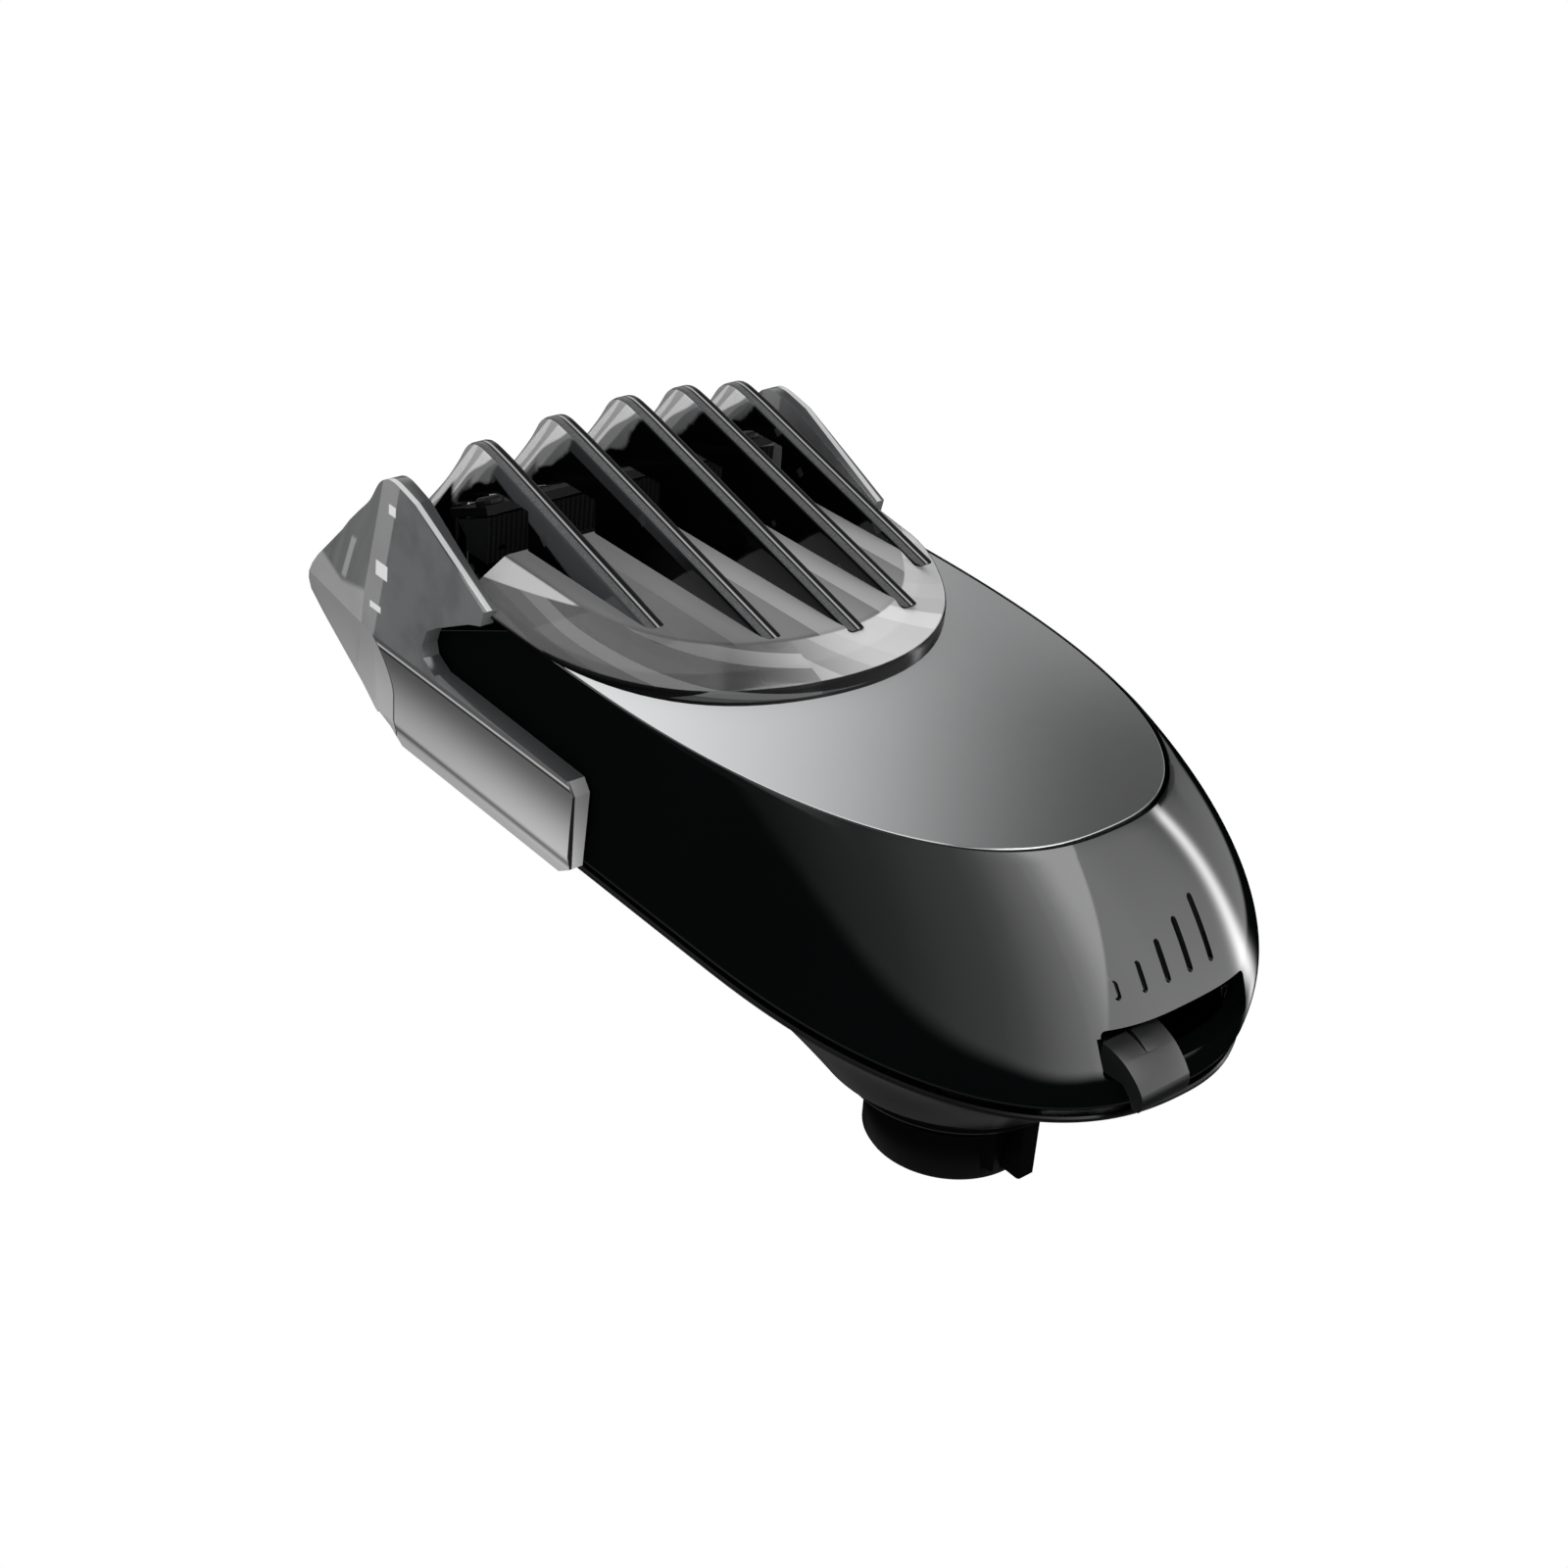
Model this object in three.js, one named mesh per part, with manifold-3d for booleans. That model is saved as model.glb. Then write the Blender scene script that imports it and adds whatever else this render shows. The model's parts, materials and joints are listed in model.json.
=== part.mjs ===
// Beard-styler clipper head with a length-setting comb.
// It clicks onto a powered handle by a round spigot, and a handle's drive turns the socket inside.
// Millimetres, +Z up, +Y towards the cutting edge, +X to the user's right seen from the slider end.
// The origin is on the coupling axis, at the spigot's bottom rim.

import * as THREE from 'three';
import { mergeVertices } from 'three/addons/utils/BufferGeometryUtils.js';
import Module from 'manifold-3d';

const wasm = await Module();
wasm.setup();

// ---------------------------------------------------------------- driving dimensions

const GAP = 0.3;                 // play left between neighbouring pieces

// housing
const HOUSING_HALF = 20.2;       // half width of the housing
const HOUSING_LOW = 19.6;        // seam with the lower shell
const HOUSING_FRONT = 50;        // front wall
const WALL = 1.6;                // housing wall thickness
const LID_HEIGHT = 35.93;        // top panel's height on the coupling axis
const LID_SLOPE = 0.017;         // its rise per mm towards the front
const LID_THICK = 1.2;
const LID_FRONT = 36;            // the panel ends here, under the comb
const DECK_SLOPE = -0.43;        // black deck in front of the panel falls away
const ROUNDNESS = 2.463;         // superellipse exponent of the outline

// coupling
const FLANGE_LOW = 7.1;
const FLANGE_HIGH = 9.3;
const FLANGE_RADIUS = 10.2;
const SPIGOT_RADIUS = 7.3;
const BELLY_RADIUS = 12.2;       // lower shell where it meets the flange
const TUBE_RADIUS = 6;           // tube that holds the spindle's bushes
const TUBE_TOP = 27.4;

// length slider and its slanting cam slot
const SETTINGS = 5;
const SETTING_STEP = 2.36;       // slider movement from one setting to the next
const SLIDER_TRAVEL = SETTING_STEP * (SETTINGS - 1);
const COMB_TRAVEL = 4;           // comb movement over the slider's whole travel
const FOLLOWER_Y = -12.6;        // carriage's follower pin at rest
const SLIDER_LOW = 22.6;
const SLIDER_HIGH = 24.6;
const SLOT_RADIUS = 21.6;        // the slot's arc runs through the rear wall here
const SLOT_LOW = 22;
const SLOT_HIGH = 25.3;

// cutter
const BLADE_TILT = Math.atan(0.4245);
const BLADE_TIP = [53.3, 39.64]; // tooth tips, upper face, as [y, z]
const BLADE_HALF = 15.5;
const TOOTH_PITCH = 1;

// comb
const TINE_PITCH = 6.8;
const TINE_THICK = 1.8;
const SKIN_SLOPE = 1.122;        // skin plane: z = SKIN_HEIGHT - SKIN_SLOPE * y
const SKIN_HEIGHT = 103.2;
const ARM_OUTER = 22.2;
const ARM_INNER = 20.5;
const HOOD_FRONT = 42.4;
const HOOD_CENTRE = 33;

// drive
const CRANK_THROW = 1;
const ROCKER_Y = 22;

// ---------------------------------------------------------------- solids

function toSolid(geometry) {
  const bare = geometry.index ? geometry : geometry.clone();
  bare.deleteAttribute('normal');
  bare.deleteAttribute('uv');
  const merged = mergeVertices(bare, 1e-4);
  return new wasm.Manifold(new wasm.Mesh({
    numProp: 3,
    vertProperties: new Float32Array(merged.attributes.position.array),
    triVerts: new Uint32Array(merged.index.array),
  }));
}

function toGeometry(solid) {
  const mesh = solid.getMesh();
  const geometry = new THREE.BufferGeometry();
  geometry.setAttribute('position', new THREE.BufferAttribute(mesh.vertProperties, 3));
  geometry.setIndex(new THREE.BufferAttribute(mesh.triVerts, 1));
  return geometry;
}

function joined(...solids) {
  return solids.reduce((sum, solid) => sum.add(solid));
}

function without(body, ...cutters) {
  return cutters.reduce((rest, cutter) => rest.subtract(cutter), body);
}

// A box from its lowest to its highest corner.
function box(low, high) {
  const size = high.map((value, axis) => value - low[axis]);
  const geometry = new THREE.BoxGeometry(...size);
  geometry.translate(...low.map((value, axis) => value + size[axis] / 2));
  return toSolid(geometry);
}

// An upright cylinder or cone.
function post(x, y, low, high, radius, topRadius = radius, sides = 24) {
  const geometry = new THREE.CylinderGeometry(topRadius, radius, high - low, sides);
  geometry.rotateX(Math.PI / 2);
  geometry.translate(x, y, (low + high) / 2);
  return toSolid(geometry);
}

// A ring of revolution about the vertical through (x, y); the profile is [radius, z] points.
function turned(x, y, profile, sides = 32) {
  const closed = [...profile, profile[0]].map(([radius, z]) => new THREE.Vector2(radius, z));
  const outwards = THREE.ShapeUtils.isClockWise(closed) ? closed.reverse() : closed;
  const geometry = new THREE.LatheGeometry(outwards, sides);
  geometry.rotateX(Math.PI / 2);
  geometry.translate(x, y, 0);
  return toSolid(geometry);
}

function shapeOf(points) {
  return new THREE.Shape(points.map(([a, b]) => new THREE.Vector2(a, b)));
}

// A plan outline of [x, y] points, pushed from low to high.
function slabOf(points, low, high) {
  const geometry = new THREE.ExtrudeGeometry(shapeOf(points), { depth: high - low, bevelEnabled: false });
  geometry.translate(0, 0, low);
  return toSolid(geometry);
}

// A side profile of [y, z] points, pushed across from one x to another.
function profileOf(points, from, to) {
  const geometry = new THREE.ExtrudeGeometry(shapeOf(points), { depth: to - from, bevelEnabled: false });
  geometry.rotateY(Math.PI / 2);
  geometry.rotateX(Math.PI / 2);
  geometry.translate(from, 0, 0);
  return toSolid(geometry);
}

// A closed skin through rings of equal point counts, capped at both ends.
function loft(rings) {
  const count = rings[0].length;
  const positions = rings.flat().flatMap((point) => [point.x, point.y, point.z]);
  const faces = [];
  for (let ring = 0; ring < rings.length - 1; ring += 1) {
    for (let index = 0; index < count; index += 1) {
      const next = (index + 1) % count;
      const a = ring * count + index;
      const b = ring * count + next;
      faces.push(a, b, b + count, a, b + count, a + count);
    }
  }
  const last = (rings.length - 1) * count;
  const flat = rings[0].map((point) => new THREE.Vector2(point.x, point.y));
  for (const [a, b, c] of THREE.ShapeUtils.triangulateShape(flat, [])) {
    faces.push(a, c, b);
    faces.push(last + a, last + b, last + c);
  }
  const geometry = new THREE.BufferGeometry();
  geometry.setAttribute('position', new THREE.Float32BufferAttribute(positions, 3));
  geometry.setIndex(faces);
  return toSolid(geometry);
}

// Everything above the plane z = height + slope * y.
function above(height, slope) {
  const reach = 200;
  const geometry = new THREE.BoxGeometry(reach, reach, reach);
  geometry.translate(0, 0, reach / 2);
  geometry.rotateX(Math.atan(slope));
  geometry.translate(0, 0, height);
  return toSolid(geometry);
}

const ARC_STEPS = 28;

// Half of a superellipse for the rounded rear, closed by a straight front with rounded corners.
function roundedOutline(half, rear, shoulder, front, exponent, corner = 3) {
  const points = [];
  for (let step = 0; step <= ARC_STEPS; step += 1) {
    const angle = Math.PI * (step / ARC_STEPS - 0.5);
    const across = Math.sign(angle) * Math.abs(Math.sin(angle)) ** (2 / exponent);
    const along = Math.abs(Math.cos(angle)) ** (2 / exponent);
    points.push([half * across, shoulder - (shoulder - rear) * along]);
  }
  for (const side of [1, -1]) {
    for (let step = 0; step <= 3; step += 1) {
      const angle = (Math.PI / 2) * (side > 0 ? step / 3 : 1 - step / 3);
      const x = side * (half - corner + corner * Math.cos(angle));
      points.push([x, front - corner + corner * Math.sin(angle)]);
    }
  }
  return points;
}

function atHeight(points, z) {
  return points.map(([x, y]) => new THREE.Vector3(x, y, z));
}

// The housing's outline at a height: its rear leans forward towards the top.
function housingOutline(z, inset = 0) {
  const rise = (z - 20) / 16;
  const rear = -23.5 + 3.94 * rise + 7.36 * rise * rise;
  const shoulder = 10.7 + 20.55 * rise;
  return roundedOutline(
    HOUSING_HALF - inset, rear + inset, shoulder, HOUSING_FRONT - inset, ROUNDNESS, Math.max(3 - inset, 1));
}

// A skin-deep copy of the housing's body, from low to high.
function housingBody(low, high, inset = 0, steps = 6) {
  const rings = [];
  for (let step = 0; step <= steps; step += 1) {
    const z = low + (high - low) * (step / steps);
    rings.push(atHeight(housingOutline(z, inset), z));
  }
  return loft(rings);
}

// A flat ring sector about the coupling axis; angles are measured from +Y towards -X.
function sector(inner, outer, from, to, low, high, steps = 14) {
  const rim = [];
  const bore = [];
  for (let step = 0; step <= steps; step += 1) {
    const angle = from + (to - from) * (step / steps);
    rim.push([-outer * Math.sin(angle), outer * Math.cos(angle)]);
    bore.push([-inner * Math.sin(angle), inner * Math.cos(angle)]);
  }
  return slabOf([...rim, ...bore.reverse()], low, high);
}

// ---------------------------------------------------------------- scene graph

const model = new THREE.Group();

function addPiece(name, solid, color, roughness, metalness) {
  const material = new THREE.MeshStandardMaterial({ color, roughness, metalness });
  const mesh = new THREE.Mesh(toGeometry(solid), material);
  mesh.name = name;
  model.add(mesh);
}

const GLOSS_BLACK = [0x0b0b0d, 0.12, 0];
const SATIN_BLACK = [0x161618, 0.45, 0];
const SATIN_GREY = [0xb4b4b8, 0.35, 0.6];
const SMOKE = [0x6f7378, 0.1, 0];
const STEEL = [0xb8babd, 0.3, 0.9];
const BRASS = [0xb89a5c, 0.35, 0.9];
const ACETAL = [0xe2e0d8, 0.5, 0];
const RUBBER = [0x202022, 0.8, 0];

// ---------------------------------------------------------------- housing

// Each shell screw's place, and the height of the seat its head is drawn up against.
const SHELL_SCREWS = [
  { x: -13, y: -4.5, seat: 17 },
  { x: 13, y: -4.5, seat: 17 },
  { x: -14, y: 39.6, seat: 20.2 },
  { x: 14, y: 39.6, seat: 20.2 },
];
const FRAME_PEGS = [-6.4, 6.4];  // the cutter frame's pegs in the deck
const PEG_Y = 45.6;
const LUG_REAR = 28.4;           // comb carriage's side lugs
const LUG_FRONT = 33;
const LUG_LOW = 25.2;
const LUG_HIGH = 27;

// Five engraved setting marks above the slot, each longer than the one before.
function settingMarks() {
  const marks = [];
  for (let index = 0; index < SETTINGS; index += 1) {
    const x = SETTING_STEP * (index - (SETTINGS - 1) / 2);
    const top = 28.1 + 0.75 * index;
    const mark = box([x - 0.3, -30, 27.1], [x + 0.3, -10, top]);
    marks.push(mark);
  }
  const band = without(housingBody(26, 33, -1, 4), housingBody(25.9, 33.1, 0.35, 4));
  return joined(...marks).intersect(band);
}

function upperHousing() {
  const body = housingBody(HOUSING_LOW, 38);
  const hollow = housingBody(HOUSING_LOW - 1, 39, WALL);
  const deckPlane = LID_HEIGHT + LID_FRONT * (LID_SLOPE - DECK_SLOPE);
  const deck = housingBody(28, 38, WALL / 2)
    .intersect(box([-30, LID_FRONT - 2, 20], [30, 60, 40]))
    .subtract(above(deckPlane, DECK_SLOPE))
    .intersect(above(deckPlane - 1.6, DECK_SLOPE));
  const walls = without(body, hollow).subtract(above(deckPlane, DECK_SLOPE));
  const shell = joined(walls, deck).subtract(above(LID_HEIGHT - LID_THICK - 0.05, LID_SLOPE)
    .intersect(box([-30, -40, 20], [30, LID_FRONT, 60])));
  const halfSlot = Math.asin(7.7 / SLOT_RADIUS);
  const slot = sector(17, 27, Math.PI - halfSlot, Math.PI + halfSlot, SLOT_LOW, SLOT_HIGH);
  const windows = [];
  for (const side of [-1, 1]) {
    const outer = side * 24;
    const inner = side * 17;
    windows.push(box(
      [Math.min(outer, inner), LUG_REAR - GAP, LUG_LOW - GAP],
      [Math.max(outer, inner), LUG_FRONT + COMB_TRAVEL + GAP, LUG_HIGH + GAP]));
  }
  const rockerHole = box([-4.6, 39.2, 29], [4.6, 43.8, 40]);
  const pegHoles = FRAME_PEGS.map((x) => post(x, PEG_Y, 28, 36, 1.3, 1.3, 16));
  return without(shell, slot, ...windows, rockerHole, ...pegHoles, settingMarks());
}

function topPanel() {
  const plate = housingBody(32, 38)
    .subtract(above(LID_HEIGHT, LID_SLOPE))
    .intersect(above(LID_HEIGHT - LID_THICK + 0.15, LID_SLOPE));
  const step = housingBody(30, 37, WALL + GAP)
    .subtract(above(LID_HEIGHT - 0.5, LID_SLOPE))
    .intersect(above(LID_HEIGHT - LID_THICK - 0.7, LID_SLOPE));
  const rear = box([-30, -40, 20], [30, LID_FRONT - GAP, 60]);
  const rearStep = box([-30, -40, 20], [30, LID_FRONT - 2 - GAP, 60]);
  return joined(plate.intersect(rear), step.intersect(rearStep));
}

// The belly falls from the housing's seam to the round flange of the coupling.
function bellySkin(inset, drop) {
  const seam = HOUSING_LOW - GAP;
  const levels = [[seam + 3 * Math.min(inset, 1), 0, 0], [seam - 0.6, 0.5, 0], [seam - 1.1, 1.3, 0]];
  const rings = levels.map(([z, round]) => atHeight(housingOutline(seam, inset + round), z + drop));
  const start = housingOutline(seam, inset + 1.3);
  for (const share of [0.35, 0.7, 1]) {
    const z = THREE.MathUtils.lerp(seam - 1.1, FLANGE_HIGH + GAP, share ** 1.15) + drop;
    rings.push(start.map(([x, y]) => {
      const angle = Math.atan2(y - 6 * (1 - share), x);
      const radius = BELLY_RADIUS - inset;
      return new THREE.Vector3(
        THREE.MathUtils.lerp(x, radius * Math.cos(angle), share),
        THREE.MathUtils.lerp(y, radius * Math.sin(angle), share), z);
    }));
  }
  return loft(rings.reverse());
}

function lowerShell() {
  const skin = without(bellySkin(0, 0), bellySkin(1.5, 1.4));
  const tube = joined(
    post(0, 0, FLANGE_HIGH + GAP, TUBE_TOP, TUBE_RADIUS, TUBE_RADIUS, 36),
    post(0, 0, FLANGE_HIGH + GAP, 12.8, 10, 10, 36));
  const bosses = SHELL_SCREWS.map(({ x, y, seat }) => post(x, y, 12, seat + 1.6, 3));
  const sliderRib = box([-11, -10.8, 11], [11, -9.6, SLIDER_LOW - GAP]);
  const springRib = box([-6.5, -15.2, 11], [6.5, -13.9, 20.3]);
  const inside = joined(bellySkin(0.6, 0.6), housingBody(17, 24, WALL + GAP, 2));
  const fittings = joined(...bosses, sliderRib, springRib).intersect(inside);
  const solid = joined(skin, tube, fittings);
  const wells = SHELL_SCREWS.flatMap(({ x, y, seat }) => [
    post(x, y, 5, seat, 2.1), post(x, y, 10, seat + 3, 1.1)]);
  return without(solid, ...wells, post(0, 0, 5, 30, 4.15, 4.15, 32), post(0, 0, 5, 11.2, 8.2, 8.2, 32));
}

function couplingCollar() {
  const body = turned(0, 0, [
    [5.4, 0], [6.9, 0], [SPIGOT_RADIUS, 0.5], [SPIGOT_RADIUS, FLANGE_LOW], [9.8, FLANGE_LOW],
    [FLANGE_RADIUS, FLANGE_LOW + 0.4], [FLANGE_RADIUS, FLANGE_HIGH - 0.4], [9.8, FLANGE_HIGH],
    [7.9, FLANGE_HIGH], [7.9, 10.9], [4.3, 10.9], [4.3, 8.2], [5.4, 8.2],
  ], 48);
  const key = box([-0.9, -9.3, 1], [0.9, -6.2, FLANGE_LOW + 0.3]);
  return without(joined(body, key), post(0, 0, -1, 8.2, 5.4, 5.4, 48));
}

// Inner plate: carries the rocker's pin, and its rails guide the comb carriage.
function chassis() {
  const plate = slabOf(housingOutline(29.4, WALL + 0.5), 28, 29.4)
    .intersect(box([-30, -40, 20], [30, 41.4, 40]));
  const posts = SHELL_SCREWS.map(({ x, y, seat }) => post(x, y, seat + 2.2, 28.2, 1.9, 1.9, 16));
  const rails = [-1, 1].map((side) => box(
    [side * 16.1 - 0.5, 12, 24.9], [side * 16.1 + 0.5, LUG_REAR - 1, 28.2]));
  const pinBoss = post(0, ROCKER_Y, 29.2, 30.1, 2.6);
  const solid = joined(plate, ...posts, ...rails, pinBoss);
  const screwHoles = SHELL_SCREWS.map(({ x, y }) => post(x, y, 15, 27, 0.85, 0.85, 12));
  return without(solid, post(0, 0, 27, 31, 2.2), post(0, ROCKER_Y, 27, 31, 1.25), ...screwHoles);
}

// ---------------------------------------------------------------- screws, pins and bushes

function shellScrew({ x, y, seat }) {
  return turned(x, y, [
    [0, seat - 2.1], [1.5, seat - 2.1], [1.8, seat - 1.7], [1.8, seat - 0.3],
    [0.8, seat - 0.3], [0.8, 26.2], [0, 26.6],
  ], 16);
}

function ring(inner, outer, low, high, x = 0, y = 0, sides = 32) {
  return turned(x, y, [[inner, low], [outer, low], [outer, high], [inner, high]], sides);
}

// ---------------------------------------------------------------- drive

function driveSocket() {
  const drum = turned(0, 0, [[0, 1.4], [3.3, 1.4], [3.6, 1.8], [3.6, 7.2], [2.6, 7.9], [0, 7.9]], 28);
  const hexagon = post(0, 0, 1, 5.2, 2.1, 2.1, 6);
  return without(drum, hexagon, post(0, 0, 5.1, 9, 1.65, 1.65, 20));
}

function driveSpindle() {
  const shaft = post(0, 0, 5.4, 30.2, 1.6, 1.6, 20);
  const disc = post(0, 0, 30, 30.7, 2.9, 2.9, 28);
  const crank = post(CRANK_THROW, 0, 30.6, 32.6, 0.9, 0.9, 16);
  return joined(shaft, disc, crank);
}

// The fork's slot is wide enough for the crank's whole orbit at every angle of the rocker.
function driveRocker() {
  const low = 30.9;
  const high = 32.3;
  const hub = post(0, ROCKER_Y, 30.4, 32.6, 3.2);
  const yoke = slabOf([[-5.6, 18.4], [5.6, 18.4], [5.6, -2.4], [3.6, -2.4], [3.6, 15], [-3.6, 15],
    [-3.6, -2.4], [-5.6, -2.4]], low, high);
  const neck = box([-2, 17, low], [2, 24, high]);
  const arm = profileOf([[23, low], [42.4, low], [42.4, 34.9], [49.9, 34.9], [49.9, 38.9], [48.7, 38.9],
    [48.7, 36.3], [40.9, 36.3], [40.9, high], [23, high]], -1.5, 1.5);
  return without(joined(hub, yoke, neck, arm), post(0, ROCKER_Y, 30, 33, 2, 2, 20));
}

// ---------------------------------------------------------------- cutter

// Pieces of the cutter lie in the blade plane: back runs from the tooth tips to the rear,
// deep runs down from the upper face.
function bladePoint(back, deep) {
  const [y, z] = BLADE_TIP;
  return [
    y - back * Math.cos(BLADE_TILT) - deep * Math.sin(BLADE_TILT),
    z + back * Math.sin(BLADE_TILT) - deep * Math.cos(BLADE_TILT),
  ];
}

function inBladePlane(outline, deep, thick) {
  const geometry = new THREE.ExtrudeGeometry(shapeOf(outline), { depth: thick, bevelEnabled: false });
  geometry.translate(0, 0, -deep - thick);
  geometry.rotateX(-BLADE_TILT);
  geometry.translate(0, ...BLADE_TIP);
  return toSolid(geometry);
}

// A straight-edged blade: teeth from toothFront back to toothRoot, body back to the rear edge.
function bladeOutline(half, toothFront, toothRoot, rear, toothWidth) {
  const count = Math.floor((2 * half) / TOOTH_PITCH);
  const start = -(count * TOOTH_PITCH) / 2;
  const points = [[half, -rear], [half, -toothRoot]];
  for (let tooth = count - 1; tooth >= 0; tooth -= 1) {
    const centre = start + TOOTH_PITCH * (tooth + 0.5);
    points.push([centre + toothWidth / 2, -toothRoot], [centre + toothWidth / 4, -toothFront]);
    points.push([centre - toothWidth / 4, -toothFront], [centre - toothWidth / 2, -toothRoot]);
  }
  points.push([-half, -toothRoot], [-half, -rear]);
  return points;
}

const BLADE_SCREW_X = 14;

function fixedBlade() {
  const plate = inBladePlane(bladeOutline(BLADE_HALF, 0, 3.2, 6.8, 0.62), 0, 0.8);
  const holes = [-BLADE_SCREW_X, BLADE_SCREW_X].map((x) => bladeHole(x, 0.8));
  return without(plate, ...holes);
}

function movingBlade() {
  const outline = bladeOutline(11.5, 0.7, 3.2, 5.9, 0.55);
  const window = inBladePlane([[2, -5], [-2, -5], [-2, -4.4], [2, -4.4]], 0, 3);
  return inBladePlane(outline, 1.0, 0.7).subtract(window);
}

function bladeHole(x, radius) {
  const geometry = new THREE.CylinderGeometry(radius, radius, 8, 14);
  geometry.rotateX(Math.PI / 2);
  geometry.rotateX(-BLADE_TILT);
  const [y, z] = bladePoint(5, 0);
  geometry.translate(x, y, z);
  return toSolid(geometry);
}

// Screw square to the blade plane, its head above the fixed blade.
function bladeScrew(x) {
  const points = [[0, 0.62], [1.0, 0.62], [1.25, 0.4], [1.25, 0.05], [0.6, 0.05], [0.6, -2.6], [0, -2.8]];
  const geometry = new THREE.LatheGeometry(
    [...points].reverse().map(([radius, up]) => new THREE.Vector2(radius, up)), 14);
  geometry.rotateX(Math.PI / 2);
  geometry.rotateX(-BLADE_TILT);
  const [y, z] = bladePoint(5, 0);
  geometry.translate(x, y, z);
  return toSolid(geometry);
}

// Plastic follower under the moving blade; the rocker's finger works in its slot.
function bladeDriver() {
  const block = profileOf([bladePoint(3.6, 1.9), bladePoint(5.2, 1.9), [48.2, 38.2], [50.5, 38.2]], -4, 4);
  return block.subtract(box([-1.65, 40, 30], [1.65, 60, 39.6]));
}

// T-shaped head: a hollow neck on the deck, and a wide seat for the blades.
function cutterFrame() {
  const deckPlane = LID_HEIGHT + LID_FRONT * (LID_SLOPE - DECK_SLOPE) + GAP;
  const neck = profileOf([[38.2, 33], [38.2, 37.6], [46.86, 37.9], [51, 37.9], [51, 33], [49.8, 30]], -8, 8)
    .intersect(above(deckPlane, DECK_SLOPE));
  const seat = profileOf([bladePoint(6.9, 1.0), bladePoint(1.6, 1.0), bladePoint(2.4, 2.6), [50.2, 37.0],
    [46.86, 37.0]], -BLADE_HALF, BLADE_HALF);
  const pegs = FRAME_PEGS.map((x) => post(x, PEG_Y, 30.6, 36, 1, 1, 16));
  const bladeRoom = inBladePlane([[13, -6.15], [13, 3], [-13, 3], [-13, -6.15]], 0, 1.9);
  const driverRoom = box([-5.8, 47.4, 34.4], [5.8, 50.75, 45]);
  const channel = box([-5.2, 39.5, 30], [5.2, 50.3, 37.2]);
  const holes = [-BLADE_SCREW_X, BLADE_SCREW_X].map((x) => bladeHole(x, 0.62));
  return without(joined(neck, seat, ...pegs), bladeRoom, driverRoom, channel, ...holes);
}

// ---------------------------------------------------------------- length setting

// Slanting slot: as the slider moves right, it pushes the follower pin evenly forward.
function camSlot() {
  const half = SLIDER_TRAVEL / 2;
  const slant = Math.atan2(COMB_TRAVEL, SLIDER_TRAVEL);
  const run = Math.hypot(COMB_TRAVEL, SLIDER_TRAVEL) / 2;
  const halfWidth = 1.15;
  const slot = joined(
    box([-run, -halfWidth, SLIDER_LOW - 1], [run, halfWidth, SLIDER_HIGH + 1]),
    post(-run, 0, SLIDER_LOW - 1, SLIDER_HIGH + 1, halfWidth + 0.02, halfWidth + 0.02, 20),
    post(run, 0, SLIDER_LOW - 1, SLIDER_HIGH + 1, halfWidth + 0.02, halfWidth + 0.02, 20));
  return slot.rotate([0, 0, -THREE.MathUtils.radToDeg(slant)])
    .translate([-half, FOLLOWER_Y + COMB_TRAVEL / 2, 0]);
}

// Drawn at rest, with its middle under the leftmost mark.
function lengthSlider() {
  const middle = -SLIDER_TRAVEL / 2;
  const plate = slabOf([[-6.9, -6.6], [-6.9, -13.6], [-5.5, -15], [5.5, -15], [6.9, -13.6], [6.9, -6.6]],
    SLIDER_LOW, SLIDER_HIGH);
  const arm = box([-2.2, -22.4, SLIDER_LOW], [2.2, -14, SLIDER_HIGH]);
  const tab = profileOf([[-21.7, SLIDER_LOW], [-21.7, 25.0], [-22.8, 24.6], [-24, 23.7], [-24.9, 22.4],
    [-25.2, 21.5], [-24.9, 21], [-24.2, 21], [-23.9, 21.8], [-23, SLIDER_LOW]], -2.8, 2.8);
  const taper = slabOf([[-2.8, -20], [-2.5, -26], [2.5, -26], [2.8, -20]], 15, 30);
  const notch = profileOf([[-25.6, 25], [-21, 25.6], [-21, 24.7], [-23.4, 24.0]], -0.25, 0.25);
  const solid = joined(plate, arm, without(tab.intersect(taper), notch)).translate([middle, 0, 0]);
  const detents = [];
  for (let index = 0; index < SETTINGS; index += 1) {
    const x = -SETTING_STEP * index;
    detents.push(box([x - 0.55, -16, SLIDER_LOW - 1], [x + 0.55, -14.1, SLIDER_LOW + 0.5]));
  }
  return without(solid, camSlot(), ...detents);
}

// Leaf spring under the slider; its bump drops into the slider's notches.
function detentSpring() {
  const leaf = slabOf([[-6, 20.6], [-1.1, 20.6], [0, 21.9], [1.1, 20.6], [6, 20.6], [6, 21], [1.2, 21],
    [0.25, 22.35], [-0.25, 22.35], [-1.2, 21], [-6, 21]], 14.2, 14.9);
  return leaf.rotate([90, 0, 0]);
}

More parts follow.
